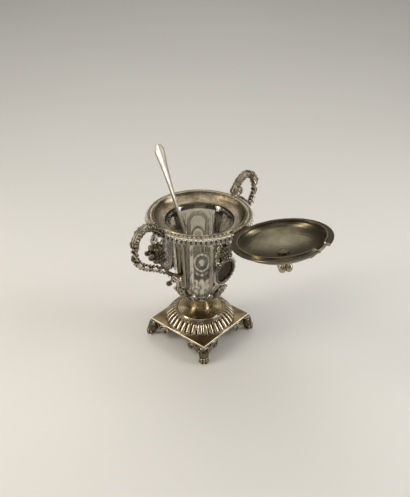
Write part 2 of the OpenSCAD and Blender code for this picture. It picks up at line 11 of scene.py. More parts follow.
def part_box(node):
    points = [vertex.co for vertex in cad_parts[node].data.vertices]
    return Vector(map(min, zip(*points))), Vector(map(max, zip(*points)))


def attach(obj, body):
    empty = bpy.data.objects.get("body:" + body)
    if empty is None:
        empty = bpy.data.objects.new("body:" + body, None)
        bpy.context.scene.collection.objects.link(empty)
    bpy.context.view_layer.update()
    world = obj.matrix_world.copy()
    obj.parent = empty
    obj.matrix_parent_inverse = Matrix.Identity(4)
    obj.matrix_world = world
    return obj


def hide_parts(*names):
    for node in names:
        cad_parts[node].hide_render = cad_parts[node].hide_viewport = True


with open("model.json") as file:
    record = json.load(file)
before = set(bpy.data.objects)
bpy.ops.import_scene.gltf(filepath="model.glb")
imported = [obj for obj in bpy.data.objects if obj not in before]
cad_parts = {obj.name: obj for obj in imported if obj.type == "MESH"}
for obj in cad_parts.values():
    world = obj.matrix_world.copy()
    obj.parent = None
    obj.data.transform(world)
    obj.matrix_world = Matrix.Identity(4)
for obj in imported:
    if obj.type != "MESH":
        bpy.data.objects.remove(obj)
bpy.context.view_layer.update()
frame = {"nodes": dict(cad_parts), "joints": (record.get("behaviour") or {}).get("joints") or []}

# Sizes are in millimetres, in the frame of the solids: +Z up, the floor at 0, the pot's axis on Z
MM = 0.001
TAU = 2 * math.pi


def span(node):
    """Lowest and highest corner of a solid, in millimetres."""
    low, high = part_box(node)
    return low / MM, high / MM


Z_PLATE, Z_RING, Z_CUP, Z_RIM, Z_BAND, Z_BEAD, GLASS_LOW = (
    span(node)[0].z for node in ("base_plate", "gadroon_ring", "leaf_cup", "mouth_rim", "egg_band",
                                 "rim_bead", "glass_liner"))
Z_PEDESTAL, Z_CAGE, Z_LIP, Z_BAND_TOP, GLASS_TOP = (
    span(node)[1].z for node in ("gadroon_ring", "leaf_cup", "mouth_rim", "egg_band", "glass_liner"))
PLATE_HALF, RING_R, SHELF_R, CUP_R, COLLAR_R, BAND_R, GLASS_FLANGE_R, HINGE_HALF = (
    span(node)[1].x for node in ("base_plate", "gadroon_ring", "base_bead", "leaf_cup", "stem_collar",
                                 "egg_band", "glass_liner", "hinge_seat"))
BAND_IN_R = BAND_R - 1.6
BEAD_RING_R = span("rim_bead")[1].x - 0.6
GLASS_MOUTH_R, GLASS_NECK_R, GLASS_BELLY_R, GLASS_FOOT_R = GLASS_FLANGE_R - 1.6, 21.4, 19.4, 9.0
GLASS_WALL, GLASS_FLOOR = 2.6, 4.0
GLASS_HOLE_R = GLASS_FLANGE_R - 2.2
Z_FLARE = Z_RIM - 12
STRAP_T, STRAP_PLAY = 1.4, 0.4
BRANCH_R = 2.6


# Meshes as plain arrays: points in millimetres and faces as tuples of indices

def around(count):
    """Angles that part a full turn evenly."""
    return np.arange(count) * TAU / count


def facing(degrees):
    """Cosine and sine of an angle."""
    return math.cos(math.radians(degrees)), math.sin(math.radians(degrees))


def polar(radius, angle, height):
    """Points at a radius, an angle about Z and a height."""
    return np.stack(np.broadcast_arrays(radius * np.cos(angle), radius * np.sin(angle), height), -1)


def smooth_curve(knots, steps):
    """Points on a smooth curve through the knots, the same number of steps for each stretch."""
    knots = np.asarray(knots, float)
    ends = np.vstack([knots[:1], knots, knots[-1:]])
    out = []
    for i in range(len(knots) - 1):
        a, b, c, d = ends[i:i + 4]
        for t in np.arange(steps) / steps:
            out.append(0.5 * (2 * b + (c - a) * t + (2 * a - 5 * b + 4 * c - d) * t ** 2
                              + (3 * b - a - 3 * c + d) * t ** 3))
    return np.array(out + [knots[-1]])


def grid_faces(rows, cols, wrap_rows=False, wrap_cols=True):
    """Quads of a grid of points that lie row by row."""
    faces = []
    for i in range(rows if wrap_rows else rows - 1):
        for j in range(cols if wrap_cols else cols - 1):
            k, m = (i + 1) % rows, (j + 1) % cols
            faces.append((i * cols + j, i * cols + m, k * cols + m, k * cols + j))
    return faces


def joined(*parts):
    """One mesh of several."""
    points, faces, start = [], [], 0
    for part_points, part_faces in parts:
        points.append(np.asarray(part_points, float))
        faces += [tuple(i + start for i in face) for face in part_faces]
        start += len(part_points)
    return np.vstack(points), faces


def placed(part, origin=(0, 0, 0), turn=None, size=1.0):
    """A mesh scaled, turned by a 3 by 3 matrix or by degrees about Z, and moved."""
    points = np.asarray(part[0], float) * size
    if turn is not None:
        matrix = Matrix.Rotation(math.radians(turn), 3, "Z") if np.isscalar(turn) else turn
        points = points @ np.array(matrix).T
    return points + np.asarray(origin, float), part[1]


def lathe(profile, steps=144):
    """A closed outline of (radius, height) turned about Z."""
    profile = np.asarray(profile, float)
    points = polar(profile[:, :1], around(steps), profile[:, 1:])
    return points.reshape(-1, 3), grid_faces(len(profile), steps, wrap_rows=True)


def ball(radii, rows=8, cols=12):
    """A sphere of one radius, or an ellipsoid of three."""
    down = np.linspace(0, math.pi, rows + 1)[:, None]
    points = polar(np.sin(down), around(cols), np.cos(down)) * np.asarray(radii)
    return points.reshape(-1, 3), grid_faces(rows + 1, cols)


def capped(rings):
    """A skin over rows of points that each close on themselves, shut at both ends."""
    rows, cols = rings.shape[:2]
    ends = [tuple(range(cols))[::-1], tuple(range((rows - 1) * cols, rows * cols))]
    return rings.reshape(-1, 3), grid_faces(rows, cols) + ends


def tube(path, radii, sides=12, ridge=1.0, first=(0, 1, 0)):
    """A branch along a path: radii that are spread evenly along it, and a factor for each point and
    side."""
    path, radii = np.asarray(path, float), np.atleast_1d(radii)
    girth = np.interp(np.linspace(0, 1, len(path)), np.linspace(0, 1, len(radii)), radii)
    along = np.gradient(path, axis=0)
    along /= np.linalg.norm(along, axis=1)[:, None]
    across = np.empty_like(path)
    normal = np.asarray(first, float)
    for i, ahead in enumerate(along):
        normal = normal - ahead * (normal @ ahead)
        normal = normal / np.linalg.norm(normal)
        across[i] = normal
    other = np.cross(along, across)
    angle = around(sides)[:, None]
    reach = girth[:, None] * ridge * np.ones(sides)
    return capped(path[:, None] + reach[..., None] * (np.cos(angle) * across[:, None]
                                                      + np.sin(angle) * other[:, None]))


def shell(top, bottom, wrap=False):
    """A closed sheet between two grids of points. Rows that wrap run round a middle point."""
    rows, cols = top.shape[:2]
    size, last = rows * cols, (rows - 1) * cols
    quads = grid_faces(rows, cols, wrap_cols=wrap)
    faces = quads + [tuple(size + i for i in face)[::-1] for face in quads]
    if wrap:
        edge = list(range(last, size))
    else:
        edge = list(range(cols)) + [i * cols + cols - 1 for i in range(1, rows)]
        edge += [last + j for j in range(cols - 2, -1, -1)] + [i * cols for i in range(rows - 2, 0, -1)]
    faces += [(b, a, size + a, size + b) for a, b in zip(edge, edge[1:] + edge[:1])]
    return np.vstack([top.reshape(-1, 3), bottom.reshape(-1, 3)]), faces


def slab(outline, thickness):
    """A flat outline of (x, z) points given a thickness along Y."""
    outline = np.asarray(outline, float)
    count = len(outline)
    sides = [np.column_stack([outline[:, 0], np.full(count, y), outline[:, 1]])
             for y in (-thickness / 2, thickness / 2)]
    faces = [tuple(range(count)), tuple(range(count, 2 * count))[::-1]]
    faces += [(i, i + count, (i + 1) % count + count, (i + 1) % count) for i in range(count)]
    return np.vstack(sides), faces


def spiral(centre, start_r, end_r, start_deg, turns, steps=40):
    """Points of a scroll in the XZ plane that winds inwards."""
    share = np.linspace(0, 1, steps)
    angle = np.radians(start_deg) + share * turns * TAU
    radius = start_r + (end_r - start_r) * share
    return np.column_stack([centre[0] + radius * np.cos(angle), 0 * share,
                            centre[1] + radius * np.sin(angle)])


def frame_of(along, up):
    """Turn that takes X to along and Z near to up."""
    x = Vector(along).normalized()
    y = Vector(up).cross(x).normalized()
    return Matrix((x, y, x.cross(y))).transposed()


# Leaves

def leaf_grid(rows, cols, start=0.0):
    """Shares of the way along a leaf, and across it from edge to edge."""
    return np.linspace(start, 1, rows)[:, None], np.linspace(-1, 1, cols)[None, :]


def waves(count):
    """Rounded ridges, one for each whole number."""
    return np.abs(np.sin(math.pi * count))


def leaf_outline(s, root, fullness, bluntness):
    """Width of a leaf along its way, as a share of its widest."""
    return np.sin(math.pi * np.clip(s, root, 0.985) ** fullness) ** bluntness


def long_leaf(length, width, veins, thickness, curl=0.0, cup=0.0, rows=40, cols=17):
    """A leaf along X with slanted side veins, a midrib and a toothed edge, its back near Z 0."""
    s, t = leaf_grid(rows, cols)
    half = 0.5 * width * leaf_outline(s, 0.015, 0.72, 0.62)
    x = length * (s + 0.06 * np.abs(t) * np.sin(math.pi * s))
    y = t * half * (1 + 0.10 * waves(veins * s))
    relief = 0.62 + 0.38 * waves(veins * (s - 0.2 * np.abs(t)))
    relief = relief * (1 - 0.55 * np.abs(t) ** 3) + 0.55 * np.exp(-(y / (0.06 * width)) ** 2)
    rise = curl * s ** 2 + cup * t ** 2
    top = np.stack([x, y, thickness * relief + rise], -1)
    return shell(top, np.stack([x, y, rise - 0.12 * thickness + 0 * t], -1))


def vine_leaf(size, thickness, droop=0.18, rings=9, sectors=60):
    """A lobed vine leaf: five lobes with a vein in each, a toothed edge, its stalk at the origin."""
    angle = around(sectors)[None, :]
    ring = np.linspace(0, 1, rings)[:, None]
    lobes = 0.60 + 0.40 * np.abs(np.cos(2.5 * angle)) ** 0.8
    notch = 1 - 0.55 * np.exp(-((angle - math.pi) / 0.35) ** 2)
    radius = ring * size * lobes * notch * (1 + 0.07 * np.abs(np.sin(11 * angle)))
    vein = np.abs(np.cos(2.5 * angle)) ** 14 * (1 - ring ** 2)
    height = thickness * (0.7 + 0.8 * vein + 0.25 * np.abs(np.cos(11 * angle)) * ring * (1 - ring))
    sag = -droop * size * ring ** 2
    top, bottom = polar(radius, angle, height + sag), polar(radius, angle, sag)
    stalk = (0.35 * size, 0, 0)
    return shell(top + stalk, bottom + stalk, wrap=True)


# Materials

SPECK_MM = 0.9
CLOUD_ROUGH, HOLLOW_ROUGH = 0.14, 0.35
CAST_GRAIN_MM, CAST_GRAIN_STRENGTH = 0.06, 0.12
LATHE_MARK_MM, LATHE_MARK_DEEP_MM = 0.5, 0.36
CRYSTAL_STREAK_MM, CRYSTAL_MARK_MM = 1.5, 2.2
CRYSTAL_IOR = 1.54


def linear(code):
    """An sRGB hex colour as linear red, green, blue and alpha."""
    parts = [int(code[i:i + 2], 16) / 255 for i in (1, 3, 5)]
    return [c / 12.92 if c <= 0.04045 else ((c + 0.055) / 1.055) ** 2.4 for c in parts] + [1.0]


def add(tree, kind, inputs=None, **settings):
    """Adds a node with its settings, and links or sets the inputs that are named. A node given as an
    input stands for the first of its outputs that is in use."""
    node = tree.nodes.new(kind)
    for name, value in settings.items():
        setattr(node, name, value)
    for name, value in (inputs or {}).items():
        if isinstance(value, bpy.types.Node):
            value = next(socket for socket in value.outputs if socket.enabled)
        if isinstance(value, bpy.types.NodeSocket):
            tree.links.new(value, node.inputs[name])
        else:
            node.inputs[name].default_value = value
    return node


def blank(name):
    """A new material and its empty tree."""
    material = bpy.data.materials.new(name)
    material.use_nodes = True
    material.node_tree.nodes.clear()
    return material, material.node_tree


def old_silver(name, wear_and_highlight, face, tarnish, patina_and_shade, shine, cloud_mm=7.0, spun=False,
               hollow=(0.09, 0.42), wear_highlight_range=(0.36, 1.10)):
    """Silver that was cast or spun, polished for years and left to tarnish: bright on sharp ridges,
    from wear by hands and cloths and from a painted highlight, warm brown in patches, and nearly black
    in every hollow, from patina and from painted shade. Spun silver keeps the fine rings of the lathe,
    which draw its highlights out along the profile."""
    material, tree = blank(name)
    place = add(tree, "ShaderNodeTexCoord").outputs["Object"]
    shut, proud = (add(tree, "ShaderNodeAttribute", attribute_name=kind).outputs["Fac"]
                   for kind in ("shut_in", "stands_out"))
    cloud = add(tree, "ShaderNodeTexNoise", {"Vector": place, "Scale": 1 / (cloud_mm * MM), "Detail": 5.0,
                                             "Roughness": 0.62})
    speck = add(tree, "ShaderNodeTexNoise", {"Vector": place, "Scale": 1 / (SPECK_MM * MM), "Detail": 3.0})
    patch = add(tree, "ShaderNodeMapRange", {"Value": cloud, "From Min": 0.42, "From Max": 0.68})
    uneven = add(tree, "ShaderNodeMath", {0: speck, 1: 0.8, 2: 0.6}, operation="MULTIPLY_ADD")
    # Painted shade: hollows that the ornament shuts in are darkened nearly to black, both as patina and as
    # the shade that falls there.
    low = add(tree, "ShaderNodeMath", {0: shut, 1: uneven}, operation="MULTIPLY")
    depth = add(tree, "ShaderNodeMapRange", {"Value": low, "From Min": hollow[0], "From Max": hollow[1]})
    # Painted highlight: sharp ridges and small knobs are lightened to near white, both as wear and as the
    # highlight that light puts on them.
    ridge = add(tree, "ShaderNodeMapRange", {"Value": proud, "From Min": wear_highlight_range[0], "From Max": wear_highlight_range[1]})
    colour = linear(face)
    for share, over in ((patch, tarnish), (ridge, wear_and_highlight), (depth, patina_and_shade)):
        colour = add(tree, "ShaderNodeMix", {"Factor": share, "A": colour, "B": linear(over)},
                     data_type="RGBA")
    rough = add(tree, "ShaderNodeMapRange", {"Value": cloud, "From Min": 0.3, "From Max": 0.75,
                                             "To Min": shine, "To Max": shine + CLOUD_ROUGH})
    dull = add(tree, "ShaderNodeMath", {0: depth, 1: HOLLOW_ROUGH, 2: rough}, operation="MULTIPLY_ADD")
    marks, strength, deep = speck, CAST_GRAIN_STRENGTH, CAST_GRAIN_MM
    if spun:
        part = add(tree, "ShaderNodeSeparateXYZ", {"Vector": place}).outputs
        flat = add(tree, "ShaderNodeCombineXYZ", {"X": part["X"], "Y": part["Y"]})
        radius = add(tree, "ShaderNodeVectorMath", {0: flat}, operation="LENGTH")
        ring = add(tree, "ShaderNodeCombineXYZ", {"X": radius, "Z": part["Z"]})
        marks = add(tree, "ShaderNodeTexNoise", {"Vector": ring, "Scale": 1 / (LATHE_MARK_MM * MM),
                                                 "Detail": 4.0, "Roughness": 0.7})
        strength, deep = 1.0, LATHE_MARK_DEEP_MM
    grain = add(tree, "ShaderNodeBump", {"Height": marks, "Strength": strength, "Distance": deep * MM})
    metal = add(tree, "ShaderNodeBsdfPrincipled", {"Base Color": colour, "Metallic": 1.0,
                                                   "Roughness": dull, "Normal": grain})
    add(tree, "ShaderNodeOutputMaterial", {"Surface": metal})
    return material


def cut_crystal():
    """Clear lead crystal, a little smoky: the panels are polished clear, and the wheel's cuts keep a
    fine ground face, whitish and streaky, that catches the light."""
    material, tree = blank("cut_crystal")
    place = add(tree, "ShaderNodeTexCoord").outputs["Object"]
    cut = add(tree, "ShaderNodeAttribute", attribute_name="ground").outputs["Fac"]
    drawn = add(tree, "ShaderNodeVectorMath", {0: place, 1: (1.0, 1.0, 0.25)}, operation="MULTIPLY")
    streak = add(tree, "ShaderNodeTexNoise", {"Vector": drawn, "Scale": 1 / (CRYSTAL_STREAK_MM * MM),
                                              "Detail": 3.0})
    uneven = add(tree, "ShaderNodeMapRange", {"Value": streak, "From Min": 0.35, "From Max": 0.65,
                                              "To Min": 0.5, "To Max": 1.35})
    ground = add(tree, "ShaderNodeMath", {0: cut, 1: uneven}, operation="MULTIPLY")
    mark = add(tree, "ShaderNodeTexNoise", {"Vector": place, "Scale": 1 / (CRYSTAL_MARK_MM * MM),
                                            "Detail": 2.0})
    clear = add(tree, "ShaderNodeMapRange", {"Value": mark, "To Min": 0.01, "To Max": 0.06})
    rough = add(tree, "ShaderNodeMath", {0: ground, 1: 0.36, 2: clear}, operation="MULTIPLY_ADD")
    tint = add(tree, "ShaderNodeMix", {"Factor": ground, "A": linear("#BDB7A8"), "B": linear("#FFF6E4")},
               data_type="RGBA")
    pass_on = add(tree, "ShaderNodeMapRange", {"Value": ground, "To Min": 1.0, "To Max": 0.15})
    glass = add(tree, "ShaderNodeBsdfPrincipled", {"Base Color": tint, "Roughness": rough,
                                                   "IOR": CRYSTAL_IOR, "Transmission Weight": pass_on})
    add(tree, "ShaderNodeOutputMaterial", {"Surface": glass})
    return material


# Grey silver with hollows darkened brown by patina and painted shade and ridges made bright by wear and a
# painted highlight, for band, cup and hinge
SILVER = old_silver("tarnished_silver", "#EFE8DA", "#9A8F7A", "#6C5F48", "#1A140C", 0.22)
# Deep brown castings with hollows darkened by patina and painted shade and ridges made bright by wear and a
# painted highlight, for uprights, leaves and grapes
CAST = old_silver("cast_silver_dark", "#F3ECDF", "#786C58", "#463C2B", "#0D0A06", 0.16, 5.0)
# Pale, warm gilding that shines on round lobes, which a painted highlight lightens as well
GILT = old_silver("gilt_silver", "#F0E7D3", "#BBAD92", "#8C7C5E", "#251C10", 0.20, 9.0)
# Dull golden brown, with the plate's border made bright by wear and a painted highlight
PLATE = old_silver("gilt_plate_brown_wear_and_painted_light", "#F4EAD4", "#837457", "#5C4D34", "#1A140B", 0.36, 12.0)
# Mirror-like gilding with upright streaks of light
SPUN = old_silver("spun_gilt_silver", "#F0E7D3", "#A08F6C", "#6A5836", "#1E160B", 0.05, 9.0, spun=True)
# Grey-gold hoop with a soft gleam along the curve of the mouth
RIM_SILVER = old_silver("spun_rim_silver", "#EFE6D6", "#A0947C", "#70634C", "#1A140B", 0.15, 11.0, spun=True)
# Nearly white silver, for the spoon and small hard edges
PALE_SILVER = old_silver("polished_silver", "#F3EFE6", "#BFB9AC", "#9C937E", "#3A301F", 0.30, 16.0)
# Olive grey satin with one broad soft light
LID_SILVER = old_silver("satin_lid_silver", "#E4D8BC", "#6E6653", "#524B3B", "#2A2314", 0.24, 16.0)
# Black hollows from patina and painted shade, beside ribs and knobs made bright by wear and a painted
# highlight, for what hands hold and polish
RUBBED_WITH_PAINTED_LIGHT = old_silver("cast_silver_rubbed_painted_light", "#F0E4CC", "#6E624E", "#3E3525", "#0A0805", 0.14, 4.0,
                    hollow=(0.05, 0.28), wear_highlight_range=(0.30, 0.82))
# An almost black field that sets off the wreath: painted shade in the sunk ground
GROUND_PAINTED_SHADE = old_silver("sunk_ground_painted_shade", "#B8AC96", "#2F2920", "#1A150E", "#0B0805", 0.24, 5.0,
                         wear_highlight_range=(0.60, 1.30))
CRYSTAL = cut_crystal()


# Pieces

RELIEF_REACH = 3.0 * MM
RELIEF_RAYS = 8
# Radians from one ray to the next, near the golden angle, so that the rays spread evenly
RAY_TURN = 2.4
SAME_POINT = 1e-6


def read(items, name, width=3, kind=float):
    """A value of every item of a mesh, one row each."""
    values = np.empty(len(items) * width, kind)
    items.foreach_get(name, values)
    return values.reshape(-1, width)


def store(mesh, name, values, kind="FLOAT"):
    """Stores a value at every vertex."""
    data = mesh.attributes.new(name, kind, "POINT").data
    data.foreach_set("value" if kind == "FLOAT" else "vector", np.asarray(values, np.float32).ravel())


def mesh_of(name, part):
    """A Blender mesh of points in millimetres and faces."""
    mesh = bpy.data.meshes.new(name)
    mesh.from_pydata((np.asarray(part[0], float) * MM).tolist(), [], part[1])
    return mesh


def linked(name, data):
    """A new object in the scene, at the origin."""
    thing = bpy.data.objects.new(name, data)
    bpy.context.scene.collection.objects.link(thing)
    return thing


def mark_relief(mesh):
    """Stores at each vertex how shut in it is by the ornament round it, and how sharply it stands out."""
    place, normal = read(mesh.vertices, "co"), read(mesh.vertex_normals, "vector")
    ends = read(mesh.edges, "vertices", 2, int)
    step = (place[ends[:, 1]] - place[ends[:, 0]]) / MM
    square = (step ** 2).sum(1) + 1e-6
    bend = np.zeros(len(place))
    np.maximum.at(bend, ends[:, 0], -(step * normal[ends[:, 0]]).sum(1) / square)
    np.maximum.at(bend, ends[:, 1], (step * normal[ends[:, 1]]).sum(1) / square)

    side = np.cross(normal, np.where(np.abs(normal[:, 2:]) < 0.8, (0, 0, 1), (1, 0, 0)))
    side /= np.linalg.norm(side, axis=1)[:, None] + 1e-9
    other = np.cross(normal, side)
    tree = BVHTree.FromPolygons(place.tolist(), [tuple(f.vertices) for f in mesh.polygons])
    start = (place + normal * RELIEF_REACH * 0.02).tolist()
    shut = np.zeros(len(place))
    for k in range(RELIEF_RAYS):
        turn, lean = k * RAY_TURN, math.asin(math.sqrt((k + 0.5) / RELIEF_RAYS))
        tilt = side * math.cos(turn) + other * math.sin(turn)
        way = (normal * math.cos(lean) + tilt * math.sin(lean)).tolist()
        for i, (a, b) in enumerate(zip(start, way)):
            far = tree.ray_cast(a, b, RELIEF_REACH)[3]
            if far is not None:
                shut[i] += 1 - 0.6 * far / RELIEF_REACH
    # shut_in darkens hollows in the materials as painted shade together with patina; stands_out lightens
    # sharp ridges as a painted highlight together with wear.
    store(mesh, "shut_in", shut / RELIEF_RAYS)
    store(mesh, "stands_out", np.clip(bend, 0, 1))


def make(name, part, material, body, nodes=(), sharp_deg=50, marks=mark_relief):
    """A finished piece: closed, facing outwards, smooth except at sharp edges, riding on a body."""
    mesh = mesh_of(name, part)
    build = bmesh.new()
    build.from_mesh(mesh)
    bmesh.ops.remove_doubles(build, verts=build.verts, dist=SAME_POINT)
    bmesh.ops.recalc_face_normals(build, faces=build.faces)
    build.to_mesh(mesh)
    build.free()
    mesh.materials.append(material)
    mesh.shade_smooth()
    mesh.set_sharp_from_angle(angle=math.radians(sharp_deg))
    marks(mesh)
    piece = linked(name, mesh)
    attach(piece, body)
    if nodes:
        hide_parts(*nodes)


def copies_tree():
    """Nodes that set a unit on each place, turned and sized by the place's own values."""
    tree = bpy.data.node_groups.new("copies_on_places", "GeometryNodeTree")
    sockets = {}
    for name, kind in (("Places", "Geometry"), ("Unit", "Object"), ("Size variation", "Float"),
                       ("Seed", "Int"), ("Material", "Material")):
        sockets[name] = tree.interface.new_socket(name, in_out="INPUT", socket_type="NodeSocket" + kind)
    tree.interface.new_socket("Copies", in_out="OUTPUT", socket_type="NodeSocketGeometry")
    given = add(tree, "NodeGroupInput").outputs
    turn = add(tree, "GeometryNodeInputNamedAttribute", {"Name": "turn"}, data_type="FLOAT_VECTOR")
    size = add(tree, "GeometryNodeInputNamedAttribute", {"Name": "size"}, data_type="FLOAT")
    unit = add(tree, "GeometryNodeObjectInfo", {"Object": given["Unit"], "As Instance": True})
    least, most = (add(tree, "ShaderNodeMath", {0: 1.0, 1: given["Size variation"]}, operation=sign)
                   for sign in ("SUBTRACT", "ADD"))
    vary = add(tree, "FunctionNodeRandomValue", {"Min": least, "Max": most, "Seed": given["Seed"]},
               data_type="FLOAT")
    scale = add(tree, "ShaderNodeMath", {0: size, 1: vary}, operation="MULTIPLY")
    spread = add(tree, "GeometryNodeInstanceOnPoints",
                 {"Points": given["Places"], "Instance": unit.outputs["Geometry"], "Rotation": turn,
                  "Scale": scale})
    real = add(tree, "GeometryNodeRealizeInstances", {"Geometry": spread})
    dressed = add(tree, "GeometryNodeSetMaterial", {"Geometry": real, "Material": given["Material"]})
    add(tree, "NodeGroupOutput", {"Copies": dressed})
    return tree, {name: socket.identifier for name, socket in sockets.items()}


COPIES, COPY_INPUTS = copies_tree()


def copies(unit, places, variation=0.0, seed=1, material=SILVER):
    """A unit set on every place, each a point with a turn and a size, as one mesh in millimetres."""
    points, turns, sizes = zip(*places)
    unit_object = linked("unit", mesh_of("unit", unit))
    spots = linked("places", mesh_of("places", (points, [])))
    store(spots.data, "turn", [tuple(turn) for turn in turns], "FLOAT_VECTOR")
    store(spots.data, "size", sizes)
    nodes = spots.modifiers.new("copies", "NODES")
    nodes.node_group = COPIES
    values = {"Unit": unit_object, "Size variation": variation, "Seed": seed, "Material": material}
    for name, value in values.items():
        nodes[COPY_INPUTS[name]] = value
    bpy.context.view_layer.update()
    result = bpy.data.meshes.new_from_object(
        spots.evaluated_get(bpy.context.evaluated_depsgraph_get()))
    points = read(result.vertices, "co") / MM
    faces = [tuple(polygon.vertices) for polygon in result.polygons]
    spots.modifiers.remove(nodes)
    for thing in (spots, unit_object):
        bpy.data.objects.remove(thing)
    bpy.data.meshes.remove(result)
    return points, faces


def ring_places(count, radius, height, start=0.0):
    """Places round the pot's axis, with X of each unit pointing outwards."""
    return [((radius * math.cos(angle), radius * math.sin(angle), height), Euler((0, 0, angle)), 1.0)
            for angle in start + around(count)]


def plain_places(points, sizes=1.0):
    """Places with no turn."""
    return [(tuple(p), Euler(), size) for p, size in zip(points, np.broadcast_to(sizes, len(points)))]


# Foot: ring of gadroons, pedestal and plate

GADROONS = 36
RING_BORDER = 1.1
CORE_SWELL = 0.8
LOBE_RISE, LOBE_ROOT, LOBE_SUNK = 1.15, 0.7, 0.1


def ring_slope(t, swell, off=0.0):
    """Radius and height on the ring's slope: t from the plain border below to the shelf above."""
    low, high = np.array([RING_R, Z_RING + RING_BORDER]), np.array([SHELF_R, Z_PEDESTAL])
    climb = high - low
    out = np.array([climb[1], -climb[0]]) / np.linalg.norm(climb)
    point = low + climb * t[..., None] + out * (swell * 4 * t * (1 - t) + off)[..., None]
    return point[..., 0], point[..., 1]


def gadroon():
    """One convex lobe along the ring's slope, pointed at the shelf and round at its foot."""
    rows, cols = 22, 11
    t = np.linspace(1.0, 0.0, rows)[:, None]
    u = np.linspace(-1, 1, cols)[None, :]
    room = math.pi * (SHELF_R + (RING_R - SHELF_R) * (1 - t)) / GADROONS
    foot = np.sqrt(np.clip(1 - ((0.16 - t) / 0.17).clip(0, 1) ** 2, 0.04, 1))
    head = np.clip((1.02 - t) / 0.25, 0.1, 1) ** 0.5
    half = 0.93 * room * foot * head
    bulge = LOBE_RISE * foot * head ** 2 * np.sqrt(np.clip(1 - u ** 2, 0, 1))
    faces = []
    for off in (bulge - LOBE_SUNK, 0 * bulge - LOBE_ROOT):
        radius, height = ring_slope(t + 0 * u, CORE_SWELL, off)
        faces.append(np.stack([radius, half * u, height], -1))
    return shell(*faces)


def gadroon_ring():
    hole, edge = SHELF_R - 3.4, Z_RING + RING_BORDER
    radius, height = ring_slope(np.linspace(0, 1, 16), CORE_SWELL)
    border = [(RING_R, Z_RING), (RING_R, edge - 0.4), (RING_R - 0.3, edge - 0.05)]
    slope = list(zip(radius, height))[1:]
    core = lathe([(hole, Z_RING)] + border + slope + [(hole, Z_PEDESTAL)], 180)
    lobes = copies(gadroon(), ring_places(GADROONS, 0, 0), material=GILT)
    make("gadroon_ring_lobes", joined(core, lobes), GILT, "frame", ["gadroon_ring"])


def pedestal():
    """The spun foot: a shallow dish that sweeps up into a slim, upright neck."""
    low, high = span("pedestal")
    base, top, wide, bore = low.z, high.z, high.x, 3.0
    knots = ((14.6, 1.3), (11.8, 1.9), (9.6, 3.0), (8.1, 4.8), (7.2, 7.2), (6.8, 9.8))
    sweep = smooth_curve([(wide - 0.9, base + 1.0)] + [(radius, base + up) for radius, up in knots]
                         + [(6.7, top - 1.2), (6.9, top)], 8)
    edge = [(bore, base), (wide, base), (wide, base + 0.55), (wide - 0.35, base + 0.9)]
    part = lathe(edge + sweep.tolist() + [(bore, top)], 128)
    make("pedestal_spun", part, SPUN, "frame", ["pedestal"])


def square_plate():
    """The hipped square plate, with a thin raised border made bright by wear and a painted highlight."""
    pitch, step, middle = 0.12, 24, 9.0
    along = np.linspace(-1, 1, step + 1)[:-1]
    side = np.column_stack([along, -np.ones(step)])
    ring = np.vstack([side @ np.array([[c, d], [-d, c]]) for c, d in ((1, 0), (0, 1), (-1, 0), (0, -1))])
    edge = Z_RING - Z_PLATE
    rows = [(middle, 0), (0.3, 0), (0, 0.2), (0, edge - 0.1), (0.10, edge + 0.22), (0.28, edge + 0.36),
            (0.48, edge + 0.33), (0.65, edge + 0.14), (0.85, edge + 0.1)]
    rows += [(inset, edge + pitch * inset) for inset in (1.8, 3.0, 4.5, 6.0, 7.5, middle)]
    rings = np.stack([np.column_stack([ring * (PLATE_HALF - inset), np.full(len(ring), Z_PLATE + up)])
                      for inset, up in rows])
    make("square_plate_worn", capped(rings), PLATE, "frame", ["base_plate"], 40)


# Feet: paws with toes, and leafy scrolls under the plate's edges

UNDER_PLATE = Z_PLATE - 0.05


def under_plate(part):
    """A mesh pressed flat where it would reach into the plate."""
    part[0][:, 2] = np.minimum(part[0][:, 2], UNDER_PLATE)
    return part


def wing():
    """Half of a foot's leafwork, along -X under the plate's edge: two scrolls, a stem and leaflets."""
    large, small = (-13.7, 7.9), (-5.6, 8.3)
    stem = smooth_curve([(-2.2, 0, 3.8), (-4.6, 0, 5.2), (-8.4, 0, 8.0), (-10.4, 0, 11.0),
                         (-13.0, 0, 11.75)], 7)
    outer = spiral(large, 3.9, 0.8, 80, 1.6)
    inner = spiral(small, 2.9, 0.6, 200, -1.5)
    girth = np.concatenate([np.linspace(1.3, 1.1, len(stem) - 1), np.linspace(1.1, 0.6, len(outer))])
    parts = [tube(np.vstack([stem[:-1], outer]), girth, 10), tube(inner, (1.0, 0.55), 10)]
    for (x, z), size in ((large, 1.45), (small, 1.25), ((-9.6, 9.6), 1.0), ((-9.0, 6.6), 0.8)):
        parts.append(placed(ball(size), (x, 0.25, z)))
    back = [(0.4, Z_PLATE), (-17.4, Z_PLATE), (-17.5, 8.4), (-16.0, 5.6), (-12.8, 5.2), (-10.4, 6.9),
            (-7.6, 6.4), (-4.4, 4.6), (-0.6, 3.4)]
    parts.append(placed(slab(back, 0.9), (0, -0.6, 0)))
    leaflet = long_leaf(4.4, 2.5, 4, 0.7, curl=-0.5, rows=16, cols=9)
    for x, z, lean, size in ((-10.2, 8.6, -112, 0.9), (-7.9, 7.2, -100, 0.85), (-17.0, 11.4, -96, 0.7)):
        c, s = facing(lean)
        parts.append(placed(leaflet, (x, 0.4, z), frame_of((c, 0, s), (0, 1, 0)), size))
    return under_plate(joined(*parts))


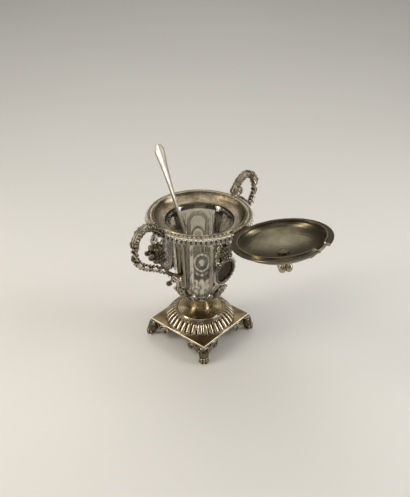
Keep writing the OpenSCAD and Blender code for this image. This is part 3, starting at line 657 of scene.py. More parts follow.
def paw():
    """A paw at the origin that faces the diagonal of +X and +Y: toes, a hairy ankle, a leafy knee."""
    leg = smooth_curve([(-6.6, 0, Z_PLATE), (-3.8, 0, 10.4), (-1.8, 0, 7.4), (-0.6, 0, 4.6),
                        (-0.3, 0, 1.0)], 8)
    share = np.linspace(0, 1, len(leg))
    girth = np.interp(share, [0, 0.2, 0.45, 0.62, 0.78, 1], [3.9, 4.2, 3.9, 3.5, 3.5, 3.2])
    sides = 36
    hair = np.abs(np.cos(4.5 * around(sides)))[None, :] * np.clip((0.75 - share) / 0.1, 0, 1)[:, None]
    parts = [tube(leg, girth, sides, 1 + 0.13 * hair),
             lathe([(0.01, 0), (3.1, 0), (3.2, 0.3), (3.0, 1.4), (0.01, 1.6)], 32)]
    toes = ((0, 2.35, 1.0), (40, 2.4, 0.97), (-40, 2.4, 0.97), (82, 2.6, 0.9), (-82, 2.6, 0.9))
    for turn, reach, size in toes:
        way = np.array([*facing(turn), 0])
        parts.append(placed(ball((1.6, 1.3, 2.7), 12, 14), way * reach + (0, 0, 2.71 * size), turn, size))
        parts.append(placed(ball((0.75, 0.62, 0.62)), way * (reach + 1.25) + (0, 0, 0.7), turn))
    knee = long_leaf(5.4, 4.0, 5, 0.9, curl=1.2, cup=-0.6, rows=24, cols=13)
    parts.append(placed(knee, (-1.5, 0, Z_PLATE - 0.3), frame_of((0.16, 0, -1), (1, 0, 0.3))))
    for y in (-3.5, 3.5):
        parts.append(placed(ball((2.0, 2.0, 2.1), 10, 14), (-2.9, y, 10.4)))
        parts.append(placed(ball(0.95), (-1.2, 0.95 * y, 10.2)))
        parts.append(placed(ball((1.1, 1.05, 1.7)), (-1.7, 0.8 * y, 7.6)))
    return under_plate(placed(joined(*parts), turn=45))


def feet():
    half, inset = wing(), 1.2
    mirror = (half[0][:, [1, 0, 2]], half[1])
    foot = joined(paw(), placed(half, (0, -inset, 0)), placed(mirror, (-inset, 0, 0)))
    foot = placed(foot, (PLATE_HALF, PLATE_HALF, 0))
    for turn, name in ((0, "right_back"), (90, "left_back"), (180, "left_front"), (270, "right_front")):
        make("paw_foot_" + name, placed(foot, turn=turn), RUBBED_WITH_PAINTED_LIGHT, "frame", ["foot_" + name])


# Body: leafy cup, uprights, wreaths

SIDES = 4
CUP_RUN, CUP_RISE = CUP_R - COLLAR_R, Z_CAGE - Z_CUP
CUP_FOOT_R = COLLAR_R - 0.4


def panel_swing(angle):
    """Angle from the middle of the nearest panel of the glass, on the diagonals."""
    return angle % (TAU / SIDES) - TAU / SIDES / 2


def on_cup(s, swing, lift):
    """A point over the cup: share of the way up, angle round the pot, and distance off the surface."""
    climb = np.radians(-84 + 80 * s)
    run = CUP_R - CUP_FOOT_R
    normal = np.stack([np.cos(climb) / run, np.sin(climb) / CUP_RISE], -1)
    normal /= np.linalg.norm(normal, axis=-1)[..., None]
    return polar(CUP_FOOT_R + run * np.cos(climb) + normal[..., 0] * lift, swing,
                 Z_CAGE + CUP_RISE * np.sin(climb) + normal[..., 1] * lift)


def cup_leaf(width, reach, thickness):
    """A leaf that grows from the collar up the cup, on the side of +X, its tip bent outwards."""
    veins = 7
    s, t = leaf_grid(34, 17, 0.02)
    half = 0.5 * width * leaf_outline(s, 0.04, 0.85, 0.55)
    half = half * (0.86 + 0.24 * waves(veins * s))
    up = s * reach + 0 * t
    swing = t * half / (COLLAR_R + CUP_RUN * np.sin(0.5 * math.pi * np.clip(up, 0, 1)))
    relief = 0.15 + 0.85 * waves(veins * (s - 0.16 * np.abs(t)))
    relief = relief * (1 - 0.6 * np.abs(t) ** 3) + 0.8 * np.exp(-(t / 0.13) ** 2)
    bent = 0.5 * s ** 6 + 0 * t
    return shell(on_cup(up, swing, thickness * relief + bent), on_cup(up, swing, bent - 0.35))


def leaf_cup():
    rows, cols, dip, bore = 16, 160, 8.5, 2.0
    angle = around(cols)
    off = CUP_R * np.abs(panel_swing(angle))
    edge = -np.arcsin((np.sqrt(np.clip(dip ** 2 - off ** 2, 0, None)) + 0.6) / CUP_RISE)
    share = np.linspace(0, 1, rows)[:, None]
    outer_a = -math.pi / 2 + share * (edge + math.pi / 2)
    inner_a = edge + share * (-math.pi / 2 - edge)
    inner_run = GLASS_BELLY_R + 0.3 - GLASS_FOOT_R
    radius = np.vstack([np.full((1, cols), bore), CUP_FOOT_R + CUP_RUN * np.cos(outer_a),
                        GLASS_FOOT_R + inner_run * np.cos(inner_a), np.full((1, cols), bore)])
    inner_z = Z_CAGE + (Z_CAGE - GLASS_LOW + 0.3) * np.sin(inner_a)
    height = np.vstack([np.full((1, cols), Z_CUP), Z_CAGE + CUP_RISE * np.sin(outer_a), inner_z,
                        inner_z[-1:]])
    points = polar(radius, angle, height).reshape(-1, 3)
    bowl = (points, grid_faces(2 * rows + 2, cols, wrap_rows=True))
    leaves = [copies(cup_leaf(width, reach, thick), ring_places(SIDES, 0, 0, start=start))
              for width, reach, thick, start in ((13.0, 1.02, 1.35, 0), (7.6, 0.84, 1.0, TAU / 14),
                                                 (7.6, 0.84, 1.0, -TAU / 14), (7.6, 0.56, 1.1, TAU / 8))]
    beads = copies(ball((0.7, 0.85, 0.7)), ring_places(28, COLLAR_R + 0.25, Z_CUP + 0.5))
    spots = [on_cup(np.array(s), np.array(TAU * k / SIDES + side * (0.30 - 0.16 * s)), np.array(0.8))
             for k in range(SIDES) for side in (-1, 1) for s in np.linspace(0.42, 0.98, 7)]
    berries = copies(ball(1.05, 7, 10), plain_places(spots), variation=0.2, seed=6)
    make("calyx_cup", joined(bowl, *leaves, beads, berries), SILVER, "frame", ["leaf_cup"])


def strap_radius(z):
    """Inner radius of an upright at a height."""
    return np.interp(z, [Z_CAGE, Z_FLARE, Z_RIM],
                     [radius + STRAP_PLAY for radius in (GLASS_BELLY_R, GLASS_NECK_R, GLASS_MOUTH_R)])


def strap():
    """An upright on the side of +X: a strip with two raised rails and a beaded middle."""
    rows, cols, half, bead_pitch = 56, 25, math.radians(10), 2.4
    z = np.linspace(Z_CAGE, Z_RIM, rows)[:, None]
    t = np.linspace(-1, 1, cols)[None, :]
    rails = 0.75 * np.exp(-((np.abs(t) - 0.82) / 0.12) ** 2)
    middle = 0.55 * np.exp(-(t / 0.22) ** 2) * (0.6 + 0.4 * np.cos(TAU * z / bead_pitch))
    inner = strap_radius(z)
    outer = inner + STRAP_T - 0.35 + rails + middle
    return shell(polar(outer, t * half, z), polar(inner, t * half, z))


def wreath():
    """The oval wreath on an upright, on the side of +X, and its sunk ground of grains, which is painted
    darker as shade.
    """
    centre_z, across, tall = Z_CAGE + 15, 10.2, 8.8
    face = GLASS_NECK_R + STRAP_PLAY + STRAP_T + 1.1
    turn = around(96)
    oval = np.column_stack([0 * turn + face, across * np.cos(turn), centre_z + tall * np.sin(turn)])
    thick, deep = 0.115, 9.2
    rope = lathe([(1 + thick * math.cos(a), thick * math.sin(a)) for a in around(12)], 96)
    rope = (rope[0][:, [2, 0, 1]] * (deep, across, tall) + (face, 0, centre_z), rope[1])
    dome = [(max(r, 0.003), 0.2 - 0.2 * r ** 2) for r in np.linspace(0, 1, 9)]
    boss = lathe(dome + [(1, -1.6), (0.003, -1.6)], 72)
    boss = (boss[0][:, [2, 0, 1]] * (1, across - 0.6, tall - 0.6) + (face - 0.6, 0, centre_z), boss[1])
    pitch, border = 1.75, 1.9
    grains = [(face - 0.5, pitch * (j + 0.5 * (i % 2)), centre_z + 0.87 * pitch * i)
              for i in range(-6, 7) for j in range(-7, 7)]
    grains = [(x, y, z) for x, y, z in grains
              if math.hypot(y / (across - border), (z - centre_z) / (tall - border)) < 1]
    ground = copies(ball((0.55, 0.72, 0.72), 5, 8), plain_places(grains), variation=0.15, seed=9)
    beads = copies(ball(1.15), plain_places(oval[::4] + (0.8, 0, 0)))
    ring_leaf = long_leaf(4.2, 2.4, 4, 0.6, curl=0.3, rows=16, cols=9)
    spots = []
    for a in around(26):
        c, s = math.cos(a), math.sin(a)
        at = (face + 0.1, (across + 0.9) * c, centre_z + (tall + 0.9) * s)
        spots.append((at, frame_of((0.1, 0.3 * c - s, 0.3 * s + c), (1, 0.6 * c, 0.6 * s)).to_euler(), 0.8))
    leaves = copies(ring_leaf, spots, variation=0.12, seed=3)
    fruit, hung = fruit_knot(face, centre_z + tall), foliage(face, centre_z - tall)
    return joined(rope, beads, leaves, fruit, hung), joined(boss, ground)


def fruit_knot(face, low_z):
    """Berries and vine leaves heaped over the wreath."""
    pitch = 2.35
    berries = []
    for row, (z, count) in enumerate(((2.0, 3), (4.1, 4), (6.2, 5), (8.3, 4), (10.4, 3), (12.2, 2))):
        for k in range(count):
            y = (k - (count - 1) / 2) * pitch
            berries.append((face - 0.3 - 0.02 * y * y + 0.5 * (row % 2), y, low_z + z))
    fruit = copies(ball((1.35, 1.3, 1.35)), plain_places(berries), variation=0.14, seed=5)
    spots = [((face - 0.9, side * y, low_z + z), frame_of((0.2, side, tilt), (1, 0, 0.1)).to_euler(), size)
             for side in (-1, 1) for y, z, tilt, size in ((3.6, 2.0, -0.2, 1.0), (4.2, 6.2, 0.5, 1.05),
                                                         (3.2, 10.0, 1.3, 0.9))]
    return joined(fruit, copies(vine_leaf(4.6, 0.55), spots, variation=0.08, seed=8))


def foliage(face, top_z):
    """Leaves that hang under the wreath and lie on the glass."""
    leaf = long_leaf(9.0, 4.6, 6, 0.7, curl=-1.2, rows=24, cols=11)
    spots = [((face - 0.8, y, top_z + 0.4), frame_of((-0.28, lean, -1), (1, 0, -0.2)).to_euler(), size)
             for y, lean, size in ((0, 0, 1.1), (-2.6, -0.55, 0.95), (2.6, 0.55, 0.95), (-5.2, -1.1, 0.8),
                                   (5.2, 1.1, 0.8))]
    return copies(leaf, spots)


def uprights():
    plain = strap()
    garland, ground = wreath()
    for turn, name in ((90, "back"), (-90, "front")):
        part = placed(joined(plain, garland), turn=turn)
        make("wreath_upright_" + name + "_cast", part, CAST, "frame", ["wreath_upright_" + name])
        # The sunk ground inside the wreath is painted nearly black as shade.
        make("wreath_ground_" + name, placed(ground, turn=turn), GROUND_PAINTED_SHADE, "frame")
    for turn, name in ((0, "right"), (180, "left")):
        make("railed_upright_" + name, placed(plain, turn=turn), CAST, "frame", ["plain_upright_" + name])


# Rim: band of arched eggs and a row of beads

EGGS = 72
BAND_LEAN = 0.35
HINGE_PLAY, BEAD_HINGE_PLAY = 0.3, 1.1


def band_arch():
    """One round arch of the band with a small egg sunk in it: X outwards, Y along the band."""
    bow_r, leg_z = 1.2, -1.9
    share = np.linspace(0, math.pi, 11)
    bow = np.column_stack([0 * share, bow_r * np.cos(share), 0.3 + bow_r * np.sin(share)])
    path = np.vstack([[[0, bow_r, leg_z]], bow, [[0, -bow_r, leg_z]]])
    egg = placed(ball((0.35, 0.4, 0.8), 6, 8), (-0.6, 0, -0.6))
    whole = joined(tube(path, 0.52, 8, first=(1, 0, 0)), egg)
    whole[0][:, 0] -= BAND_LEAN * whole[0][:, 2]
    return whole


def without_hinge(part):
    """Flattens what stands in the hinge's slot at the back into the slot's walls and floor."""
    low = span("hinge_seat")[0]
    floor_z, wall_y = low.z - 0.05, low.y - 0.05
    points = part[0].copy()
    x, y, z = points.T
    points[(np.abs(x) < HINGE_HALF + HINGE_PLAY) & (y > wall_y) & (z > floor_z), 2] = floor_z
    return points, part[1]


def egg_band():
    middle, ground = 0.5 * (Z_BAND + Z_BAND_TOP), BAND_R - 0.9
    slope = 0.5 * BAND_LEAN * (Z_BAND_TOP - Z_BAND)
    low_r, top_r, inner_r = ground + slope, ground - slope, BAND_IN_R - 0.2
    core = lathe([(BAND_IN_R, Z_BAND - 0.3), (low_r, Z_BAND - 0.3), (low_r, Z_BAND), (top_r, Z_BAND_TOP),
                  (inner_r, Z_BAND_TOP + 0.1), (inner_r, Z_BAND_TOP - 0.3)], 216)
    arches = copies(band_arch(), ring_places(EGGS, ground + 0.4, middle, start=TAU / EGGS / 2))
    part = without_hinge(joined(core, arches))
    make("egg_band_chased", part, SILVER, "frame", ["egg_band"])


def rim_beads():
    places = [place for place in ring_places(EGGS, BEAD_RING_R, Z_BEAD - 0.05)
              if place[0][1] <= 0 or abs(place[0][0]) >= HINGE_HALF + BEAD_HINGE_PLAY]
    beads = copies(ball((0.85, 1.0, 0.8), 8, 10), places)
    make("rim_bead_row", beads, SILVER, "frame", ["rim_bead"])


# Handles: vine branches with a leaf sheath, buds, leaves, scrolls and grapes

HANDLE_DROP = 34.8


def grip(out, up):
    """A point of a handle's middle line: share of the reach past the band, and of the rise or drop."""
    high = span("handle_right")[1]
    rise = high.z - BRANCH_R - Z_LIP
    x = BAND_R + out * (high.x - BRANCH_R - BAND_R)
    return x, 0, Z_LIP + up * (rise if up > 0 else HANDLE_DROP)


GRIP = smooth_curve([grip(out, up) for out, up in (
    (-0.05, -0.11), (0.07, 0.18), (0.28, 0.71), (0.53, 1), (0.78, 0.86), (0.95, 0.35), (1, -0.11),
    (0.957, -0.32), (0.83, -0.47), (0.61, -0.6), (0.36, -0.72), (0.11, -0.85), (-0.142, -1))], 14)
GRIP_FOOT = GRIP[-1]


def strand(start, end, turn_deg, twist_deg, off, thick):
    """A strand of the vine between two shares of the handle's way, wound round its middle line."""
    first, last = (int(share * (len(GRIP) - 1)) for share in (start, end))
    path = GRIP[first:last + 1]
    ahead = np.gradient(path, axis=0)
    ahead /= np.linalg.norm(ahead, axis=1)[:, None]
    out = np.column_stack([-ahead[:, 2], 0 * ahead[:, 0], ahead[:, 0]])
    share = np.linspace(0, 1, len(path))
    turn = np.radians(turn_deg + twist_deg * share)[:, None]
    taper = np.sqrt(np.clip(np.minimum(share, 1 - share) / 0.1, 0.2, 1))
    shift = off * taper[:, None] * (np.cos(turn) * out + np.sin(turn) * np.array([[0, 1, 0]]))
    return tube(path + shift, thick * taper, 10)


def vine_branch():
    """The handle's main branch: a sheath of long ribs above, and three wound strands below."""
    heart = np.interp(np.linspace(0, 1, len(GRIP)), [0, 0.45, 0.5, 1], [1.5, 1.5, 0.9, 0.9])
    ribs = [strand(0.02, 0.47, turn, 50, 1.55, 1.12) for turn in range(0, 360, 60)]
    wound = [strand(0.43, 1.0, turn, 900, 1.0, 1.0) for turn in (0, 120, 240)]
    return joined(tube(GRIP, heart, 12), *ribs, *wound)


def along_grip(share):
    """Point, direction and outward side of the handle's middle line at a share of its way."""
    i = min(int(share * (len(GRIP) - 1)), len(GRIP) - 3)
    ahead = (GRIP[i + 2] - GRIP[i]) / np.linalg.norm(GRIP[i + 2] - GRIP[i])
    return GRIP[i], ahead, np.array([-ahead[2], 0, ahead[0]])


def handle_buds():
    """Beads inside and in the flanks of the sheath, and buds on both edges of the wound strands."""
    spots, sizes = [], []
    for k, share in enumerate(np.linspace(0.06, 0.46, 19)):
        at, _, out = along_grip(share)
        side = 1 if k % 2 else -1
        spots += [at - 2.2 * out + (0, 0.5 * side, 0)]
        spots += [at + (0.8 + 0.3 * side) * out + (0, 2.3 * flank, 0) for flank in (-1, 1)]
        sizes += [1.4, 1.3, 1.3]
    for k, share in enumerate(np.linspace(0.47, 0.96, 25)):
        at, _, out = along_grip(share)
        for edge in (-1, 1):
            lean = 0.9 if (k + (edge > 0)) % 2 else -0.9
            spots.append(at + 1.7 * edge * out + (0, lean, 0))
            sizes.append(1.05)
    knob, _, out = along_grip(0.55)
    spots.append(knob + 1.9 * out)
    sizes.append(1.75)
    return copies(ball(0.95, 7, 10), plain_places(spots, sizes), variation=0.16, seed=11)


def handle_leaves():
    """Curled leaf tips where the sheath ends, and leaves that lie along the foot of the handle."""
    tip = long_leaf(8.4, 4.0, 6, 0.9, curl=2.6, rows=26, cols=11)
    leaf = long_leaf(6.0, 3.2, 5, 0.7, curl=0.8, rows=22, cols=11)
    rows = [(tip, share, -1, lean, 1.6, 0.9) for share, lean in ((0.40, 0.0), (0.37, 0.8), (0.37, -0.8))]
    rows += [(leaf, share, 0.2, flank, 1.5, 1.0) for share in (0.60, 0.70, 0.80, 0.89) for flank in (-1, 1)]
    parts = []
    for unit, share, outward, sideways, off, size in rows:
        at, ahead, out = along_grip(share)
        up = outward * out + (0, sideways, 0)
        parts.append(placed(unit, at + off * up / np.linalg.norm(up), frame_of(ahead, up), size))
    return joined(*parts)


def handle_scrolls():
    """The scroll under the handle's root, and the curled ends at its foot with their berries."""
    root = np.array(grip(0.1, 0.1))
    scroll = spiral((root[0] + 4.6, root[2] - 3.4), 4.4, 1.0, 150, -1.35)
    foot = GRIP_FOOT
    wall = strap_radius(foot[2] - 10) + STRAP_T
    root_path = smooth_curve([foot + (1.5, 0, 0.9), foot + (-4, 0, -4.2), (wall + 4, 0, foot[2] - 8.5),
                              (wall - 0.4, 0, foot[2] - 10)], 8)
    curl_path = smooth_curve([foot + (-5, 0, -5.6), foot + (-4.4, 0, -9.4), foot + (-1, 0, -11)], 8)
    parts = [tube(scroll, (1.15, 0.6), 10), placed(ball(1.1), scroll[-1]),
             tube(root_path, (1.7, 1.3), 12), tube(curl_path, (1.15, 0.9), 10)]
    for at, size in (((-1, 0, -11), 1.95), ((-2.9, 0.5, -12.1), 1.2), ((-4.6, -0.4, -10.2), 1.0),
                     ((-6.2, 0.6, -11.4), 1.15), ((-7.8, -0.5, -12.6), 1.2)):
        parts.append(placed(ball(size, 10, 14), foot + at))
    leaf = long_leaf(8.0, 4.4, 6, 0.8, curl=-1.0, rows=22, cols=11)
    for side in (-1, 1):
        turn = frame_of((-0.5, side * 0.9, -0.8), (0.6, side, 0.4))
        parts.append(placed(leaf, foot + (-4.5, side * 1.0, -4.8), turn))
    return joined(*parts)


def hanging_leaf():
    """The long leaf in the handle's plane, from the rim's underside to the handle's foot, veined on
    both faces."""
    top = np.array([BAND_IN_R - 3.2, Z_BAND - 0.2])
    along = np.array([GRIP_FOOT[0] + 0.8, GRIP_FOOT[2] + 1.6]) - top
    across = np.array([-along[1], along[0]]) / np.linalg.norm(along)
    veins, widest = 11, 6.4
    s, t = leaf_grid(64, 27)
    half = widest * leaf_outline(s, 0.06, 0.78, 0.55)
    half = half * (1 + 0.13 * waves(veins * s))
    x = top[0] + along[0] * s + across[0] * t * half
    z = top[1] + along[1] * s + across[1] * t * half - 2.2 * np.abs(t) * np.sin(math.pi * s)
    z = np.minimum(z, Z_BAND - 0.1)
    relief = (0.25 + 0.75 * waves(veins * (s - 0.34 * np.abs(t))) ** 0.8) * (1 - 0.7 * np.abs(t) ** 6)
    thick = 1.5 * relief + 0.5 * np.exp(-(t / 0.1) ** 2)
    bow = 0.9 * np.sin(TAU * 0.75 * s) * t
    return shell(np.stack([x, bow + thick, z], -1), np.stack([x, bow - thick, z], -1))


def grape_bunch():
    """Grapes heaped in three layers that narrow downwards, on a short stalk."""
    pitch = 3.1
    spots = []
    for layer, y in enumerate((-2.5, 0.0, 2.5)):
        counts = (3, 4, 3, 3, 2, 1) if layer == 1 else (3, 4, 3, 3, 2)
        for row, count in enumerate(counts):
            for k in range(count):
                x = BAND_IN_R + 4.4 + pitch * (k + 0.4 * ((row + layer) % 2)) - 0.2 * row
                spots.append((x, y, Z_BAND - 4.6 - 0.92 * pitch * row))
    fruit = copies(ball(2.0, 9, 14), plain_places(spots), variation=0.13, seed=4)
    stalk = smooth_curve([(BAND_IN_R + out, 0, Z_BAND - down) for out, down in
                          ((1.2, 1.0), (3.6, 2.6), (6.2, 4.6))], 6)
    return joined(fruit, tube(stalk, 0.8, 10))


def handles():
    limb = joined(vine_branch(), handle_buds(), handle_leaves(), handle_scrolls())
    leaf, bunch = hanging_leaf(), grape_bunch()
    for turn, name in ((0, "right"), (180, "left")):
        make("vine_handle_" + name, placed(limb, turn=turn), RUBBED_WITH_PAINTED_LIGHT, "frame", ["handle_" + name])
        make("hanging_leaf_" + name, placed(leaf, turn=turn), CAST, "frame", ["vine_leaf_" + name])
        make("grape_bunch_" + name, placed(bunch, turn=turn), CAST, "frame", ["grapes_" + name])


# Glass liner: cut panels on the diagonals, reeds between them

PANEL_HALF, PANEL_TOP, PANEL_CORNER, BEVEL = 9.4, Z_RIM - 2.0, 4.6, 3.3
MEDALLION_HALF, MEDALLION_TALL, Z_MEDALLION = 6.6, 9.2, Z_CAGE + 25.0
Z_PETALS, Z_SCALLOPS, SCALLOP_PITCH, REED_PITCH = Z_CAGE + 0.5, Z_CAGE + 2.5, 4.2, 2.0
Z_CUTS_TOP, Z_CUTS_LOW = Z_RIM - 1.0, GLASS_LOW + 2.0


def wheel_cuts(x, z):
    """How deep the wheel cut the glass, in ground cuts and in polished reeds: x along the surface from
    a panel's middle, z the height."""
    ax = np.abs(x)
    edge = np.maximum.reduce([ax - PANEL_HALF, z - PANEL_TOP,
                              (ax - PANEL_HALF + z - PANEL_TOP + PANEL_CORNER) / math.sqrt(2)])
    bevel = np.clip((0.5 * BEVEL - np.abs(edge + 0.5 * BEVEL)) / 0.5, 0, 1)
    u, v = x / MEDALLION_HALF, (z - Z_MEDALLION) / MEDALLION_TALL
    oval, turn = np.hypot(u, v), np.arctan2(v, u)
    lens = np.clip(1.6 - oval / 0.3, 0, 1)
    ring = np.clip(1.5 - np.abs(oval - 0.82) / 0.1, 0, 1)
    rays = np.clip(1 - np.abs(oval - 1.22) / 0.2, 0, 1) * np.abs(np.cos(6 * turn)) * (z < Z_MEDALLION + 3)
    petals = np.zeros_like(x)
    for lean, long in ((0, 5.0), (33, 5.8), (-33, 5.8), (66, 5.2), (-66, 5.2)):
        c, s = facing(lean)
        along, across = x * s + (z - Z_PETALS) * c - long, x * c - (z - Z_PETALS) * s
        petals = np.maximum(petals, 1.3 * np.clip(1.2 - np.hypot(along / long, across / 2.1), 0, 1))
    scallops = 1.2 * np.abs(np.cos(math.pi * x / SCALLOP_PITCH)) * np.clip((Z_SCALLOPS - z) / 4.0, 0, 1)
    fade = np.clip(Z_CUTS_TOP - z, 0, 1) * np.clip(z - Z_CUTS_LOW, 0, 1)
    reeds = 0.55 * waves(x / REED_PITCH) * (ax > PANEL_HALF + 0.2)
    return np.maximum.reduce([bevel, lens, ring, rays, petals, scallops]) * fade, reeds * fade


def glass_radius(z):
    """Outer radius of the glass before it is cut."""
    lean = np.sqrt(np.clip(1 - (np.clip(Z_CAGE - z, 0, None) / (Z_CAGE - GLASS_LOW)) ** 2, 0, 1))
    bowl = GLASS_FOOT_R + (GLASS_BELLY_R - GLASS_FOOT_R) * lean
    wall = np.interp(z, [Z_CAGE, Z_FLARE, Z_RIM], [GLASS_BELLY_R, GLASS_NECK_R, GLASS_MOUTH_R])
    return np.where(z < Z_CAGE, bowl, wall)


def mark_cuts(mesh):
    """Stores at each vertex of the outer face how much of it is a ground cut."""
    x, y, z = read(mesh.vertices, "co").T / MM
    full = glass_radius(z)
    cuts, reeds = wheel_cuts(full * panel_swing(np.arctan2(y, x)), z)
    outside = (np.hypot(x, y) > full - 1.5) * (z < Z_RIM)
    store(mesh, "ground", np.clip(0.05 + 1.2 * cuts + 0.5 * reeds, 0, 1) * outside)


def glass_liner():
    cols = 336
    angle = around(cols)
    floor_r, floor_z = 8, GLASS_LOW + GLASS_FLOOR
    foot = [(GLASS_FOOT_R + (GLASS_BELLY_R - GLASS_FOOT_R) * math.cos(a),
             Z_CAGE + (Z_CAGE - GLASS_LOW) * math.sin(a)) for a in np.linspace(-math.pi / 2, 0, 26)]
    wall_z = np.linspace(Z_CAGE + 0.45, Z_RIM, 104)
    wall = list(zip(glass_radius(wall_z), wall_z))
    under = GLASS_TOP - 2.4
    flange = [(GLASS_MOUTH_R, under), (GLASS_FLANGE_R, under), (GLASS_FLANGE_R, GLASS_TOP - 0.4),
              (GLASS_FLANGE_R - 0.4, GLASS_TOP), (GLASS_HOLE_R + 0.3, GLASS_TOP),
              (GLASS_HOLE_R, GLASS_TOP - 0.3)]
    inside = [(GLASS_MOUTH_R - GLASS_WALL, Z_RIM - 0.5), (GLASS_NECK_R - GLASS_WALL, Z_FLARE)]
    hollow_r, hollow_z = GLASS_BELLY_R - GLASS_WALL, Z_CAGE + 1.5
    bowl = [(floor_r + (hollow_r - floor_r) * math.cos(a), hollow_z + (hollow_z - floor_z) * math.sin(a))
            for a in np.linspace(0, -math.pi / 2, 12)]
    profile = np.array([(0.01, GLASS_LOW)] + foot + wall + flange + inside + bowl + [(0.01, floor_z)])
    radius, height = np.repeat(profile[:, :1], cols, 1), np.repeat(profile[:, 1:], cols, 1)
    outer = np.arange(len(profile))[:, None] <= len(foot) + len(wall)
    radius = radius - np.maximum(*wheel_cuts(radius * panel_swing(angle[None, :]), height)) * outer
    part = (polar(radius, angle, height).reshape(-1, 3), grid_faces(len(profile), cols))
    make("cut_glass_liner", part, CRYSTAL, "liner", ["glass_liner"], 35, mark_cuts)


# Lid: finial

def opened(part):
    """A mesh that is made for the closed lid, turned to the pose of the frame, which is open."""
    joint = next(j for j in frame["joints"] if j["name"] == "lid_hinge")
    pivot = np.array(joint["pos_m"]) / MM
    back = Matrix.Rotation(-math.radians(joint["range_deg"][1]), 3, "X")
    return (part[0] - pivot) @ np.array(back).T + pivot, part[1]


def finial():
    """A bud of four fat, pear-shaped lobes that swell from a turned neck, over the closed lid's crown."""
    crown, lobes = Z_LIP + 12.2, 4
    path = smooth_curve([(0.9, 0, 2.4), (1.9, 0, 4.2), (2.8, 0, 6.6), (3.1, 0, 8.8), (2.7, 0, 10.9),
                         (2.0, 0, 12.3)], 6)
    girth = np.interp(np.linspace(0, 1, len(path)), [0, 0.2, 0.42, 0.62, 0.78, 0.9, 0.97, 1],
                      [1.0, 1.7, 2.5, 2.9, 2.6, 1.7, 0.8, 0.2])
    petals = copies(tube(path, girth, 24), ring_places(lobes, 0, crown))
    stem = ((0.01, -3.4), (1.35, -3.4), (1.35, 0), (3.3, 0), (3.4, 0.4), (3.0, 0.8), (2.0, 1.2), (1.8, 1.7),
            (2.4, 2.2), (2.7, 2.7), (2.2, 3.4), (1.2, 10.4), (0.01, 10.6))
    part = joined(petals, lathe([(radius, crown + up) for radius, up in stem], 64))
    make("lobed_finial", opened(part), GILT, "lid", ["finial"])


# Spoon

def spoon():
    """A mustard spoon: a round bowl on a slim stem that widens to a rounded end, in its own upright
    frame."""
    length, bowl_r, wall, sink, rim_y = 114.0, 7.2, 0.9, 2.6, -3.2
    shoulder, neck, end_w = length - 4.5, 0.8 * length, 8.2
    end = 0.5 * math.pi * np.linspace(0, 1, 12)[1:]
    step = shoulder + 0.9
    z = np.concatenate([np.linspace(12.4, neck, 44), np.linspace(neck, shoulder, 22)[1:],
                        [shoulder + 0.25, step], step + 3.6 * np.sin(end)])
    width = np.interp(z, [12, 18, 0.6 * length, 0.83 * length, shoulder, shoulder + 0.25, step],
                      [3.6, 2.6, 2.6, 6.3, 10.0, 9.2, end_w])
    width[-len(end):] = end_w * np.cos(end) + 0.02
    thick = np.interp(z, [12, 20, 0.5 * length, shoulder, length], [2.3, 2.2, 1.9, 1.6, 1.2])
    cols = 40
    side = around(cols)
    bulge = np.sign(np.cos(side)) * np.abs(np.cos(side)) ** 0.8
    flat = np.sign(np.sin(side)) * np.abs(np.sin(side)) ** 0.7
    fluted = 0.08 * np.clip((z - 0.84 * length) / 8, 0, 1)[:, None]
    flutes = fluted * np.cos(2.5 * math.pi * bulge) * np.abs(flat)
    stem = capped(np.stack([0.5 * width[:, None] * bulge, (0.5 * thick[:, None] + flutes) * flat,
                            np.repeat(z[:, None], cols, 1)], -1))
    mid = np.array([0, sink - bowl_r, bowl_r])
    down = np.linspace(0.001, math.acos((rim_y - mid[1]) / bowl_r), 20)
    arc = np.column_stack([np.sin(down), np.cos(down)])
    outer, inner = bowl_r * arc, ((bowl_r - wall) * arc)[::-1]
    bowl = lathe(np.vstack([outer, [[inner[0][0], outer[-1][1]]], inner]), 56)
    bowl = (bowl[0][:, [0, 2, 1]] + mid, bowl[1])
    heel = smooth_curve([(0, 1.9, 7.6), (0, 1.4, 10.4), (0, 0.5, 12.8), (0, 0, 16)], 6)
    heel = tube(heel, (0.5, 1.2), 14, first=(1, 0, 0))
    return joined(stem, bowl, heel)


def standing_spoon():
    lean = math.radians(21.65)
    foot_z = GLASS_LOW + GLASS_FLOOR + 1.4
    lip = GLASS_HOLE_R - 0.5 - 0.8 / math.cos(lean)
    foot_y = (GLASS_TOP - foot_z) * math.tan(lean) - lip
    part = placed(spoon(), (0, foot_y, foot_z), Matrix.Rotation(lean, 3, "X"))
    make("mustard_spoon_forged", part, PALE_SILVER, "spoon", ["mustard_spoon"])


# What stays as the solids have it, with its finish

# notch_border takes the near-white polished silver as a painted highlight on the lid's edge by the notch.
FINISHES = {"base_bead": SILVER, "stem_collar": SPUN, "tie_bolt": PALE_SILVER, "tie_nut": PALE_SILVER,
            "mouth_rim": RIM_SILVER, "hinge_seat": SILVER, "hinge_pin": PALE_SILVER, "lid_leaf": SILVER,
            "lid_dome": LID_SILVER, "lid_bezel": GILT, "notch_border": PALE_SILVER, "finial_nut": SILVER}


def finish_solids():
    for node, material in FINISHES.items():
        for slot in frame["nodes"][node].material_slots:
            slot.link = "OBJECT"
            slot.material = material


# Stage, in metres, round the photo's viewpoint

VIEW_RIGHT, VIEW_AWAY = Vector((-0.6494, 0.7604, 0)), Vector((-0.7604, -0.6494, 0))
VIEW_UP = Vector((0, 0, 1))
CAMERA_PLACE, CAMERA_WAY = Vector((322.4, 280.6, 344.6)) * MM, Vector((-0.6455, -0.5513, -0.5286))
CAMERA_LENS, CAMERA_SENSOR, CAMERA_NEAR = 47.91, 36.0, 0.01
LAMP_AIM = Vector((0, 0, 0.08))
TABLE_HALF, TABLE_HAZE_MM = 6.0, 1000 / 3

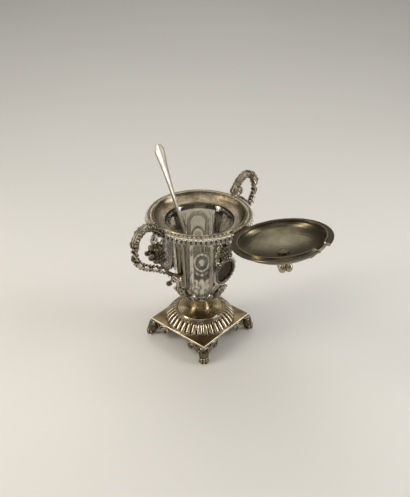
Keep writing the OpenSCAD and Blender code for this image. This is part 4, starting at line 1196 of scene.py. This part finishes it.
# Soft boxes: right, away and up from the pot, width and height, watts, tint
LAMPS = {"left_box": ((-0.62, -0.20, 0.46), (0.15, 0.8), 3.7, "#FFF7EA"),
         "right_box": ((0.66, -0.10, 0.34), (0.14, 0.8), 2.9, "#FFFFFF"),
         "front_box": ((0, -1.2, 0.62), (0.9, 0.5), 1.5, "#FFFFFF"),
         "back_box": ((0, 1.35, 1.5), (1.4, 0.9), 7.5, "#FFFFFF"),
         "top_box": ((0, 0.10, 1.0), (0.8, 0.8), 2.6, "#FFFFFF")}


def floor():
    """A pale matt table top."""
    material, tree = blank("pale_table")
    place = add(tree, "ShaderNodeTexCoord").outputs["Object"]
    haze = add(tree, "ShaderNodeTexNoise", {"Vector": place, "Scale": 1 / (TABLE_HAZE_MM * MM)})
    tone = add(tree, "ShaderNodeMix", {"Factor": haze, "A": linear("#D6D3CC"), "B": linear("#DEDBD5")},
               data_type="RGBA")
    matt = add(tree, "ShaderNodeBsdfPrincipled", {"Base Color": tone, "Roughness": 0.8})
    add(tree, "ShaderNodeOutputMaterial", {"Surface": matt})
    half = TABLE_HALF / MM
    corners = [(-half, -half, 0), (half, -half, 0), (half, half, 0), (-half, half, 0)]
    mesh = mesh_of("table", (corners, [(0, 1, 2, 3)]))
    mesh.materials.append(material)
    table = linked("table", mesh)


def lamps():
    """Soft boxes that face the pot."""
    for name, ((right, away, up), size, watts, tint) in LAMPS.items():
        light = bpy.data.lights.new(name, "AREA")
        light.shape = "RECTANGLE"
        light.size, light.size_y = size
        light.energy = watts
        light.color = linear(tint)[:3]
        box = linked(name, light)
        box.location = right * VIEW_RIGHT + away * VIEW_AWAY + up * VIEW_UP
        box.rotation_euler = (LAMP_AIM - box.location).to_track_quat("-Z", "Y").to_euler()


def world_and_camera():
    """A dim studio that is lighter overhead, and the camera of the photo."""
    scene = bpy.context.scene
    scene.view_settings.view_transform = "Standard"
    world = bpy.data.worlds.new("studio")
    scene.world = world
    world.use_nodes = True
    tree = world.node_tree
    tree.nodes.clear()
    way = add(tree, "ShaderNodeTexCoord").outputs["Generated"]
    rise = add(tree, "ShaderNodeSeparateXYZ", {"Vector": way}).outputs["Z"]
    level = add(tree, "ShaderNodeMapRange", {"Value": rise, "From Min": 0.0, "From Max": 0.9,
                                             "To Min": 0.06, "To Max": 0.30})
    sky = add(tree, "ShaderNodeBackground", {"Color": linear("#FFFDF8"), "Strength": level})
    add(tree, "ShaderNodeOutputWorld", {"Surface": sky})

    camera = linked("camera", bpy.data.cameras.new("camera"))
    camera.location = CAMERA_PLACE
    camera.rotation_euler = CAMERA_WAY.to_track_quat("-Z", "Y").to_euler()
    camera.data.sensor_width = CAMERA_SENSOR
    camera.data.lens = CAMERA_LENS
    camera.data.clip_start = CAMERA_NEAR
    scene.camera = camera


square_plate()
gadroon_ring()
pedestal()
feet()
leaf_cup()
uprights()
egg_band()
rim_beads()
handles()
glass_liner()
finial()
standing_spoon()
finish_solids()
floor()
lamps()
world_and_camera()
